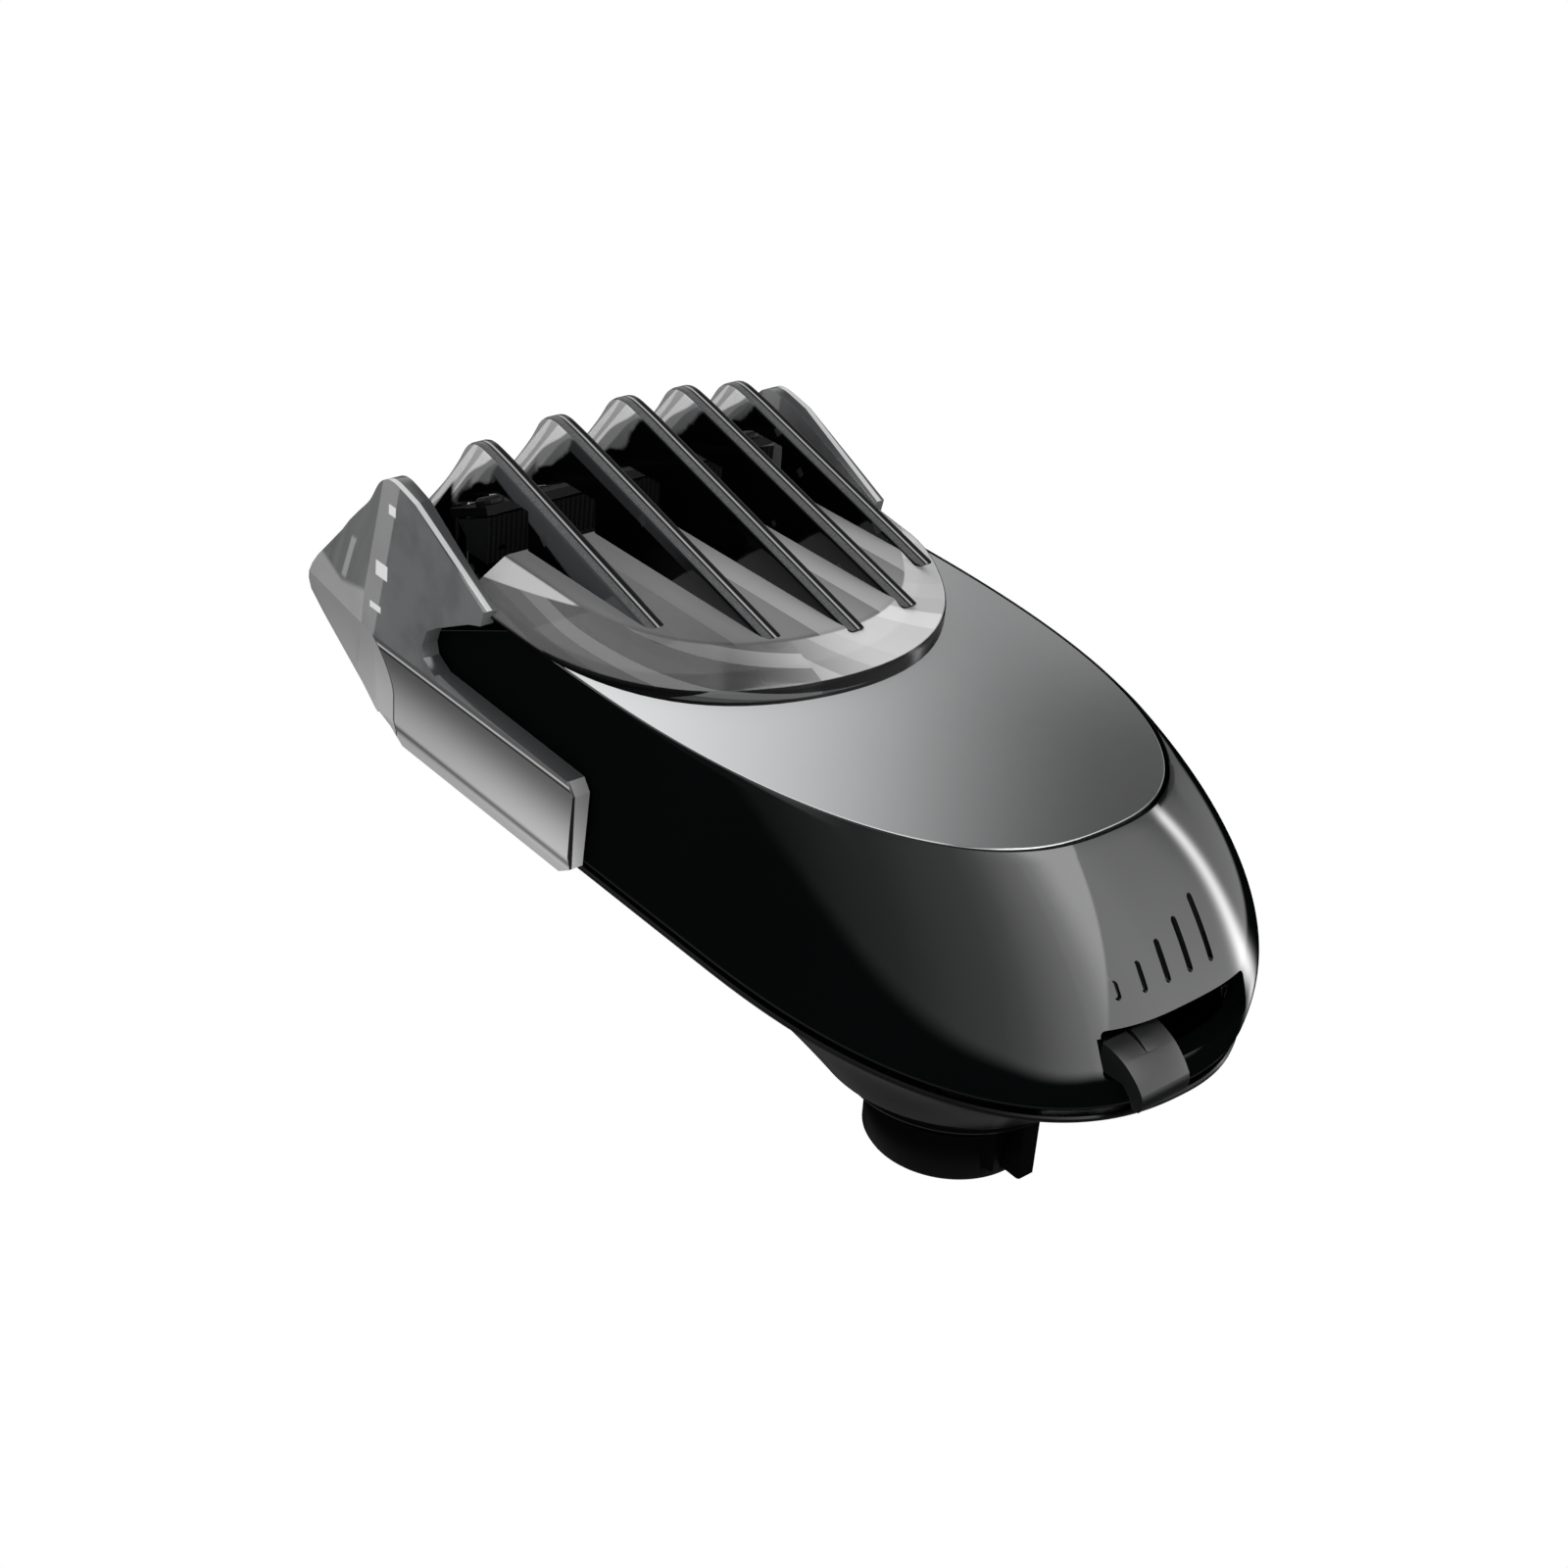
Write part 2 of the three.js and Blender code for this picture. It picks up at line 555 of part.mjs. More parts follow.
// Plate round the spindle's tube; its side lugs reach through the housing into the comb's arms.
function combCarriage() {
  const plate = box([-15.3, -2, LUG_LOW], [15.3, LUG_FRONT, LUG_HIGH]);
  const tail = box([-9, -14.2, LUG_LOW], [9, 0, LUG_HIGH]);
  const wings = box([-21.3, LUG_REAR, LUG_LOW], [21.3, LUG_FRONT, LUG_HIGH]);
  const tubeRoom = box([-6.8, -10.6, 20], [6.8, 6.8, 30]);
  const lightening = box([-9, 12, 20], [9, 25, 30]);
  const postRooms = SHELL_SCREWS.filter(({ y }) => y < 0).map(({ x, y }) => box(
    [x - 2.5, y - 8, 20], [x + 2.5, y + 2.3, 30]));
  return without(joined(plate, tail, wings), tubeRoom, lightening, ...postRooms,
    post(0, FOLLOWER_Y, 20, 30, 1.05, 1.05, 20));
}

// ---------------------------------------------------------------- comb

// Each tine's own ridge: rear end on the hood, then the peak, as [y, z].
const TINES = [
  { rear: [17.1, 40.0], peak: [48.6, 48.6] },
  { rear: [18.35, 39.8], peak: [49.2, 48.0] },
  { rear: [24.1, 39.6], peak: [50.3, 46.7] },
  { rear: [36, 37.2], peak: [52.9, 43.9] },
];

function skinZ(y) {
  return SKIN_HEIGHT - SKIN_SLOPE * y;
}

// Ridge line with a rounded peak that runs on down the front edge to the tip.
function ridgeLine({ rear, peak }) {
  const [y, z] = peak;
  return [rear, [y - 2.2, z - 0.25], [y - 0.9, z + 0.05], [y, z], [y + 1.1, z - 0.95],
    [y + 2.2, skinZ(y + 2.2) + 0.1], [60.6, skinZ(60.6) + 1.2]];
}

const TIP = [[68.3, 29.9], [69.3, 28.3], [68.8, 26.8]];
const CUTTER_CLEAR = [[HOOD_FRONT, 38.9], [HOOD_FRONT, 43.3], [46.8, 43.3], [53.95, 40.27], [53.95, 27.4]];

function innerTine(index) {
  const shape = TINES[Math.abs(index)];
  const outline = [...ridgeLine(shape), ...TIP, [64.6, 23.6], [58, 24.6], ...[...CUTTER_CLEAR].reverse(),
    [shape.rear[0] + 1.2, 38.9]];
  const centre = index * TINE_PITCH;
  return profileOf(outline, centre - TINE_THICK / 2, centre + TINE_THICK / 2);
}

// Side wall and gripping arm in one plate, bent inwards at the front corner and leaning in at the top.
function sideWall(side) {
  const outline = [...ridgeLine(TINES[3]), ...TIP, [64.7, 23.2], [60.2, 20.8], [56.6, 19.3], [52.5, 19.2],
    [24.2, 20], [23.8, 28.5], [45.2, 28.7], [46.1, 29.6], [45.7, 32.4], [39, 35.5], [34, 36.3], [31, 36.9]];
  const bent = slabOf([[ARM_OUTER, 20], [ARM_OUTER, 54.8], [20.2, 70], [18.5, 70], [ARM_INNER - 1, 53.9],
    [ARM_INNER - 1, 20]], 10, 60);
  const leaning = slabOf([[ARM_INNER, 10], [ARM_OUTER, 10], [ARM_OUTER, 28.5], [21.3, 45], [19.6, 45],
    [ARM_INNER, 37.5]], -80, -10).rotate([90, 0, 0]);
  const front = box([10, 54, 10], [30, 80, 60]);
  const wall = profileOf(outline, 15, 25).intersect(bent).intersect(joined(leaning, front));
  const groove = box([ARM_INNER - 1, LUG_REAR - GAP, 15], [21.6, LUG_FRONT + GAP, LUG_HIGH + GAP]);
  const plate = wall.subtract(groove);
  return side > 0 ? plate : plate.mirror([1, 0, 0]);
}

function hoodSkin(inset, drop) {
  const front = HOOD_FRONT + 5 * Math.sign(inset);
  const ringAt = (half, depth, z) => atHeight(
    roundedOutline(half - inset, HOOD_CENTRE - depth + inset, HOOD_CENTRE, front, 2, 0.4), z - drop);
  return loft([ringAt(20.9, 20.2, 33), ringAt(20.9, 20.2, 38), ringAt(16.5, 16, 39.9)]);
}

function comb() {
  const hood = without(hoodSkin(0, 0), hoodSkin(1.2, 1.2)).intersect(above(LID_HEIGHT + 0.35, LID_SLOPE));
  const tines = [];
  for (let index = -2; index <= 2; index += 1) {
    tines.push(innerTine(index));
  }
  const chin = profileOf([[53.95, 27.4], [53.95, 24.6], [57.6, 21.4], [61, 23], [61, 25], [57.2, 27.4]],
    -20.8, 20.8);
  return joined(hood, ...tines, sideWall(1), sideWall(-1), chin);
}

// ---------------------------------------------------------------- assembly

addPiece('upper_housing', upperHousing(), ...GLOSS_BLACK);
addPiece('top_panel', topPanel(), ...SATIN_GREY);
addPiece('lower_shell', lowerShell(), ...SATIN_BLACK);
addPiece('coupling_collar', couplingCollar(), ...SATIN_BLACK);
addPiece('chassis', chassis(), ...SATIN_BLACK);
SHELL_SCREWS.forEach((screw, index) => {
  addPiece(`shell_screw_${index + 1}`, shellScrew(screw), ...STEEL);
});
addPiece('spindle_seal', ring(1.75, 4.1, 9.0, 10.6), ...RUBBER);
addPiece('spindle_bush_lower', ring(1.65, 4.05, 11.5, 14.5), ...BRASS);
addPiece('spindle_bush_upper', ring(1.65, 4.05, 23.8, 27.2), ...BRASS);
addPiece('drive_socket', driveSocket(), ...ACETAL);
addPiece('drive_spindle', driveSpindle(), ...STEEL);
addPiece('rocker_pivot_pin', joined(
  post(0, ROCKER_Y, 28.2, 33.2, 1.2, 1.2, 20), post(0, ROCKER_Y, 33, 33.6, 2.2)), ...STEEL);
addPiece('rocker_bush', ring(1.25, 1.95, 30.4, 32.6, 0, ROCKER_Y, 20), ...BRASS);
addPiece('drive_rocker', driveRocker(), ...ACETAL);
addPiece('cutter_frame', cutterFrame(), ...SATIN_BLACK);
addPiece('blade_driver', bladeDriver(), ...ACETAL);
addPiece('moving_blade', movingBlade(), ...STEEL);
addPiece('fixed_blade', fixedBlade(), ...STEEL);
addPiece('blade_screw_left', bladeScrew(-BLADE_SCREW_X), ...STEEL);
addPiece('blade_screw_right', bladeScrew(BLADE_SCREW_X), ...STEEL);
addPiece('length_slider', lengthSlider(), ...SATIN_BLACK);
addPiece('detent_spring', detentSpring(), ...STEEL);
addPiece('comb_carriage', combCarriage(), ...ACETAL);
addPiece('follower_pin', post(0, FOLLOWER_Y, 22.8, 26.9, 1, 1, 20), ...STEEL);
addPiece('comb', comb(), ...SMOKE);

export default model;
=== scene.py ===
import json
import math

import bmesh
import bpy
from mathutils import Matrix, Vector

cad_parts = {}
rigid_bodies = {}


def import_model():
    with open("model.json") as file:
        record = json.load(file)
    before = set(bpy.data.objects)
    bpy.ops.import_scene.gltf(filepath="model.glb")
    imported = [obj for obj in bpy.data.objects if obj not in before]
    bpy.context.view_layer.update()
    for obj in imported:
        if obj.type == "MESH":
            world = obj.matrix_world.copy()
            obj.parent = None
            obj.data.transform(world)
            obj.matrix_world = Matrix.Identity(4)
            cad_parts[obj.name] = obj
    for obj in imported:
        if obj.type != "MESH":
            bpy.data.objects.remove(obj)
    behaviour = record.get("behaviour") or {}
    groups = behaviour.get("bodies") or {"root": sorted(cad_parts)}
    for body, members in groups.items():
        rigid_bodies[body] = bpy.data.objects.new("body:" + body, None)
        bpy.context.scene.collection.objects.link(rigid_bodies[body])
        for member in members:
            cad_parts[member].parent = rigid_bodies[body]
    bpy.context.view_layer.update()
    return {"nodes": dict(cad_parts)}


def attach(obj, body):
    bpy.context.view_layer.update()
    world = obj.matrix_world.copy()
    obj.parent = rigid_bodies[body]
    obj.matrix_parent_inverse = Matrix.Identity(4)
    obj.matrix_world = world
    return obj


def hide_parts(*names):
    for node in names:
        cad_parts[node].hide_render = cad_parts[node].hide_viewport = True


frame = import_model()

MM = 0.001

# ---------------------------------------------------------------- mesh helpers

def make(name, points, faces):
    """A mesh object from points in millimetres."""
    mesh = bpy.data.meshes.new(name)
    mesh.from_pydata([Vector(p) * MM for p in points], [], faces)
    obj = bpy.data.objects.new(name, mesh)
    bpy.context.scene.collection.objects.link(obj)
    bm = bmesh.new()
    bm.from_mesh(mesh)
    bmesh.ops.remove_doubles(bm, verts=bm.verts, dist=1e-7)
    bmesh.ops.recalc_face_normals(bm, faces=bm.faces)
    bm.to_mesh(mesh)
    bm.free()
    return obj


def loft(name, rings, closed=False):
    """A skin through rings of equal length: joined end to end if closed, otherwise capped."""
    count = len(rings[0])
    points = [p for ring in rings for p in ring]
    faces = []
    total = len(rings)
    for k in range(total if closed else total - 1):
        for i in range(count):
            j = (i + 1) % count
            a = k * count
            b = ((k + 1) % total) * count
            faces.append((a + i, a + j, b + j, b + i))
    if not closed:
        faces.append(tuple(range(count))[::-1])
        faces.append(tuple((total - 1) * count + i for i in range(count)))
    return make(name, points, faces)


def prism(name, outline, axis, low, high):
    """An outline pushed along an axis: (y, z) along x, (x, z) along y, or (x, y) along z."""
    def place(a, b, c):
        return {"x": (c, a, b), "y": (a, c, b), "z": (a, b, c)}[axis]
    count = len(outline)
    points = [place(a, b, low) for a, b in outline] + [place(a, b, high) for a, b in outline]
    faces = [tuple(range(count)), tuple(range(count, 2 * count))]
    faces += [(i, (i + 1) % count, (i + 1) % count + count, i + count) for i in range(count)]
    return make(name, points, faces)


def lathe(name, profile, sides):
    """A closed ring of revolution from a closed profile of (radius, z)."""
    rings = []
    for k in range(sides):
        a = 2 * math.pi * k / sides
        rings.append([(r * math.cos(a), r * math.sin(a), z) for r, z in profile])
    return loft(name, rings, closed=True)


def curve_through(points, steps=8):
    """A smooth open curve through points."""
    out = []
    for i in range(len(points) - 1):
        p0 = points[max(i - 1, 0)]
        p1, p2 = points[i], points[i + 1]
        p3 = points[min(i + 2, len(points) - 1)]
        for s in range(steps):
            t = s / steps
            out.append(tuple(
                0.5 * (2 * b + (c - a) * t
                       + (2 * a - 5 * b + 4 * c - d) * t * t
                       + (3 * b - a - 3 * c + d) * t ** 3)
                for a, b, c, d in zip(p0, p1, p2, p3)))
    out.append(tuple(points[-1]))
    return out


def settle(obj):
    """Applies the modifiers."""
    graph = bpy.context.evaluated_depsgraph_get()
    mesh = bpy.data.meshes.new_from_object(obj.evaluated_get(graph))
    obj.modifiers.clear()
    obj.data = mesh
    return obj


def combine(obj, other, operation):
    mod = obj.modifiers.new(operation, "BOOLEAN")
    mod.object = other
    mod.operation = operation
    mod.solver = "MANIFOLD"
    settle(obj)
    bpy.data.objects.remove(other)
    return obj


def cut(obj, *cutters):
    for cutter in cutters:
        combine(obj, cutter, "DIFFERENCE")
    return obj


def bevel(obj, width, segments=2, angle=30):
    """Rounds edges sharper than the angle, in millimetres."""
    mod = obj.modifiers.new("bevel", "BEVEL")
    mod.width = width * MM
    mod.segments = segments
    mod.limit_method = "ANGLE"
    mod.angle_limit = math.radians(angle)
    mod.harden_normals = False
    return obj


def soften(obj, angle=35):
    """Smooth shading, with creases where faces meet sharply."""
    mesh = obj.data
    mesh.shade_smooth()
    bm = bmesh.new()
    bm.from_mesh(mesh)
    for edge in bm.edges:
        edge.smooth = len(edge.link_faces) == 2 and edge.calc_face_angle(math.pi) < math.radians(angle)
    bm.to_mesh(mesh)
    bm.free()
    return obj


def finish_piece(obj, body, material, slot, *replaced):
    """Gives a piece its material and body, and hides the CAD nodes it stands for; slot is not used."""
    obj.data.materials.clear()
    obj.data.materials.append(material)
    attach(obj, body)
    if replaced:
        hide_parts(*replaced)
    return obj


# ---------------------------------------------------------------- materials

class Nodes:
    """A small builder for a material's or a world's node tree."""

    def __init__(self, tree):
        self.tree = tree
        tree.nodes.clear()

    def add(self, kind, **sockets):
        node = self.tree.nodes.new(kind)
        for key, value in sockets.items():
            self.put(node.inputs[key.replace("_", " ")], value)
        return node

    def put(self, socket, value):
        if isinstance(value, bpy.types.NodeSocket):
            self.tree.links.new(value, socket)
        else:
            socket.default_value = value

    def math(self, operation, a, b=0.0):
        node = self.tree.nodes.new("ShaderNodeMath")
        node.operation = operation
        self.put(node.inputs[0], a)
        self.put(node.inputs[1], b)
        return node.outputs[0]

    def times(self, first, *others):
        for other in others:
            first = self.math("MULTIPLY", first, other)
        return first

    def plus(self, first, *others):
        for other in others:
            first = self.math("ADD", first, other)
        return first

    def minus(self, a, b):
        return self.math("SUBTRACT", a, b)

    def over(self, a, b):
        return self.math("DIVIDE", a, b)

    def size(self, value):
        return self.math("ABSOLUTE", value)

    def most(self, a, b):
        return self.math("MAXIMUM", a, b)

    def step(self, value, low, high):
        """0 below low, 1 above high, smooth between."""
        node = self.tree.nodes.new("ShaderNodeMapRange")
        node.interpolation_type = "SMOOTHSTEP"
        self.put(node.inputs["Value"], value)
        self.put(node.inputs["From Min"], low)
        self.put(node.inputs["From Max"], high)
        return node.outputs["Result"]

    def fall(self, value, low, high):
        """1 below low, 0 above high, smooth between."""
        return self.step(self.times(value, -1), -high, -low)

    def mix(self, factor, a, b):
        node = self.tree.nodes.new("ShaderNodeMix")
        node.data_type = "RGBA"
        self.put(node.inputs[0], factor)
        self.put(node.inputs[6], a)
        self.put(node.inputs[7], b)
        return node.outputs[2]

    def blend(self, factor, a, b):
        """A number between a and b."""
        node = self.tree.nodes.new("ShaderNodeMix")
        self.put(node.inputs[0], factor)
        self.put(node.inputs[2], a)
        self.put(node.inputs[3], b)
        return node.outputs[0]

    def tone(self, value):
        """A grey of that brightness."""
        node = self.tree.nodes.new("ShaderNodeCombineColor")
        for socket in node.inputs[:3]:
            self.put(socket, value)
        return node.outputs[0]

    def normal(self):
        """The surface's direction, as x, y and z."""
        split = self.add("ShaderNodeSeparateXYZ", Vector=self.add("ShaderNodeNewGeometry").outputs["Normal"])
        return split.outputs[0], split.outputs[1], split.outputs[2]

    def place(self):
        """Object coordinates in millimetres, as x, y and z."""
        coords = self.add("ShaderNodeTexCoord")
        scaled = self.tree.nodes.new("ShaderNodeVectorMath")
        scaled.operation = "SCALE"
        self.put(scaled.inputs[0], coords.outputs["Object"])
        scaled.inputs["Scale"].default_value = 1000
        split = self.add("ShaderNodeSeparateXYZ", Vector=scaled.outputs[0])
        return scaled.outputs[0], split.outputs[0], split.outputs[1], split.outputs[2]

    def noise(self, vector, scale, detail=3.0):
        """Soft random values; scale is in waves per millimetre."""
        node = self.add("ShaderNodeTexNoise", Vector=vector, Scale=scale, Detail=detail)
        return node.outputs["Fac"]


def grey(value, tint=0.0):
    """A grey, turned towards blue by the tint."""
    return (value * (1 - tint), value, value * (1 + tint), 1)


def material(name, colour, roughness, metallic=0.0, variation=0.06, grain=0.0, grain_scale=9.0,
             specular=0.5, stripes=None, edge_on_shade=None):
    """A moulded, painted or metal finish: slow colour and gloss variation, and fine grain.

    stripes is a colour drawn in uneven lines; the last argument is a painted shade, the colour given to faces
    seen nearly edge on.
    """
    mat = bpy.data.materials.new(name)
    mat.use_nodes = True
    n = Nodes(mat.node_tree)
    place, _, _, _ = n.place()
    slow = n.noise(place, 0.12)
    dark = tuple(c * (1 - variation) for c in colour[:3]) + (1,)
    light = tuple(min(1, c * (1 + variation)) for c in colour[:3]) + (1,)
    shader = n.add("ShaderNodeBsdfPrincipled")
    body = n.mix(slow, dark, light)
    if stripes:
        lines = n.add("ShaderNodeTexWave", Vector=place, Scale=0.62, Distortion=0.6)
        body = n.mix(n.times(lines.outputs["Fac"], slow), body, stripes)
    if edge_on_shade:
        # painted shade: faces seen nearly edge on are darkened
        facing = n.add("ShaderNodeLayerWeight", Blend=0.5).outputs["Facing"]
        body = n.mix(n.step(facing, 0.57, 0.8), body, edge_on_shade)
    n.put(shader.inputs["Base Color"], body)
    smear = n.noise(place, 0.5, 5.0)
    n.put(shader.inputs["Roughness"], n.blend(smear, roughness * 0.88, min(1, roughness * 1.12)))
    shader.inputs["Metallic"].default_value = metallic
    shader.inputs["Specular IOR Level"].default_value = specular
    if grain:
        fine = n.noise(place, grain_scale, 2.0)
        bump = n.add("ShaderNodeBump", Strength=grain, Distance=0.00002, Height=fine)
        n.put(shader.inputs["Normal"], bump.outputs[0])
    out = n.add("ShaderNodeOutputMaterial")
    n.put(out.inputs[0], shader.outputs[0])
    return mat


GLOSS = material("gloss_black", (0.0022, 0.0030, 0.0030, 1), 0.035, variation=0.1)
# the panel's rounded edges get a painted shade where they are seen nearly edge on
SATIN_PANEL = material("satin_panel", grey(0.62, 0.012), 0.1, metallic=0.92, variation=0.02, grain=0.04,
                       edge_on_shade=grey(0.05))
SATIN_BLACK = material("satin_black", grey(0.0015, 0.05), 0.22, grain=0.1, specular=0.16)
INNER_BLACK = material("inner_black", grey(0.006), 0.6, grain=0.2, specular=0.2)
TAB_BLACK = material("tab_black", grey(0.008, 0.04), 0.32, grain=0.15, specular=0.3)
FRAME_BLACK = material("frame_black", grey(0.0015), 0.5, grain=0.2, specular=0.03, stripes=grey(0.022, 0.06))
BLADE = material("coated_blade", grey(0.003, 0.03), 0.45, grain=0.2, grain_scale=20, specular=0.04)
BLACK_OXIDE = material("black_oxide", grey(0.004), 0.45, grain=0.2, specular=0.08)
STEEL = material("bright_steel", grey(0.6), 0.25, metallic=1.0, grain=0.2)
BRASS = material("turned_brass", (0.6, 0.43, 0.18, 1), 0.28, metallic=1.0, grain=0.2)
ACETAL = material("acetal", (0.75, 0.74, 0.7, 1), 0.45, grain=0.2)
RUBBER = material("rubber", grey(0.015), 0.8, grain=0.5)


def smoke(name, zones):
    """Smoked clear plastic. zones(n, place, x, y, z) gives its colour, with painted light and shade, and how
    solid it looks.
    """
    mat = bpy.data.materials.new(name)
    mat.use_nodes = True
    n = Nodes(mat.node_tree)
    place, x, y, z = n.place()
    colour, solidity, shine = zones(n, place, x, y, z)
    shader = n.add("ShaderNodeBsdfPrincipled")
    n.put(shader.inputs["Specular IOR Level"], n.plus(0.5, shine))
    n.put(shader.inputs["Base Color"], colour)
    n.put(shader.inputs["Alpha"], solidity)
    n.put(shader.inputs["Roughness"], n.blend(n.noise(place, 0.6, 4.0), 0.05, 0.12))
    shader.inputs["IOR"].default_value = 1.5
    out = n.add("ShaderNodeOutputMaterial")
    n.put(out.inputs[0], shader.outputs[0])
    return mat


# the comb's slanting front: z = SKIN_HEIGHT - SKIN_SLOPE * y
SKIN_SLOPE, SKIN_HEIGHT = 1.122, 103.2
SKIN_LEAN = 1.503


def tine_zones(centre, ridge_rear, ridge_peak, band_depth, reflection_wedge):
    """Pale rim along the front edge, a grey zone behind it, painted shade nearly black further in with
    painted glints, and painted light and shade across the ridge.
    """
    slope = (ridge_peak[1] - ridge_rear[1]) / (ridge_peak[0] - ridge_rear[0])
    peak_y = ridge_peak[0]

    def front_zones(n, place, y, z, inside):
        """How far a spot is in the middle zone and in the painted shade further in."""
        arch = n.times(n.fall(y, peak_y - 3, peak_y + 1.5), 0.9)
        middle = n.step(n.minus(inside, arch), 1.5, 1.7)
        # the painted shade reaches further near the blade and beyond it
        near_blade = n.times(n.fall(z, 42.6, 44.2), 1.1)
        uneven = n.minus(n.noise(place, 0.3, 4.0), 0.5)
        reach = n.plus(inside, n.times(uneven, 2.2), near_blade)
        past_blade = n.times(n.step(y, 53.2, 54.2), n.step(inside, 0.7, 1.0))
        return middle, n.most(n.step(reach, 3.3, 3.9), past_blade)

    def painted_glints(n, place):
        """Small painted glints: facets that catch light within the painted shade of the web."""
        cells = n.add("ShaderNodeTexVoronoi", Vector=place, Scale=0.33)
        cells.distance = "MANHATTAN"
        few = n.math("GREATER_THAN", n.noise(cells.outputs["Position"], 0.9), 0.57)
        return n.times(few, n.math("LESS_THAN", cells.outputs["Distance"], 0.27))

    def ridge_light_and_shade(n, place, x):
        """Across the ridge, painted light and shade: a grey left half, a bright highlight line and a dark
        right half.
        """
        across = n.minus(x, centre)
        left = n.mix(n.noise(place, 6.0, 2.0), grey(0.035, 0.03), grey(0.16, 0.02))
        line = n.times(n.step(across, -0.08, 0.02), n.fall(across, 0.12, 0.22))
        strip = n.mix(n.step(across, -0.26, -0.18), left, grey(0.012))
        return n.mix(line, strip, grey(0.36))

    def zones(n, place, x, y, z):
        skin_gap = n.minus(n.minus(SKIN_HEIGHT + 0.3, n.times(y, SKIN_SLOPE)), z)
        inside = n.over(skin_gap, SKIN_LEAN)
        ridge = n.plus(ridge_rear[1] - slope * ridge_rear[0], n.times(y, slope))
        middle, deep_shade = front_zones(n, place, y, z, inside)
        colour = n.mix(middle, grey(0.5), grey(0.13, 0.02))
        # painted shade: nearly black and solid further in
        colour = n.mix(deep_shade, colour, grey(0.0012))
        solidity = n.blend(middle, 0.42, 0.85)
        solidity = n.blend(deep_shade, solidity, 1.0)
        if reflection_wedge:
            # painted reflection: slate grey above a slanting line, within the painted shade
            line = n.plus(24.95, n.times(y, 0.42))
            slate_reflection = n.times(n.step(n.minus(z, line), -0.2, 0.2), deep_shade)
            colour = n.mix(slate_reflection, colour, grey(0.055, 0.06))
        elif band_depth:
            band = n.fall(n.minus(ridge, z), band_depth, band_depth + 0.1)
            colour = n.mix(n.times(band, deep_shade, n.step(y, 26, 34)), colour, grey(0.03, 0.05))
        # painted glints within the painted shade
        colour = n.mix(n.times(painted_glints(n, place), deep_shade, 0.7), colour, grey(0.045))
        aside, _, up = n.normal()
        edge = n.times(n.fall(inside, 0.22, 0.36), n.step(n.size(aside), 0.25, 0.5))
        colour = n.mix(edge, colour, grey(0.12))
        solidity = n.blend(edge, solidity, 0.75)
        # top faces by the ridge take its painted light and shade
        top = n.times(n.step(up, 0.5, 0.6), n.fall(y, peak_y + 0.6, peak_y + 1.2))
        colour = n.mix(top, colour, ridge_light_and_shade(n, place, x))
        return colour, n.blend(top, solidity, 1.0), n.blend(top, n.blend(deep_shade, -0.3, -0.35), -0.4)
    return zones


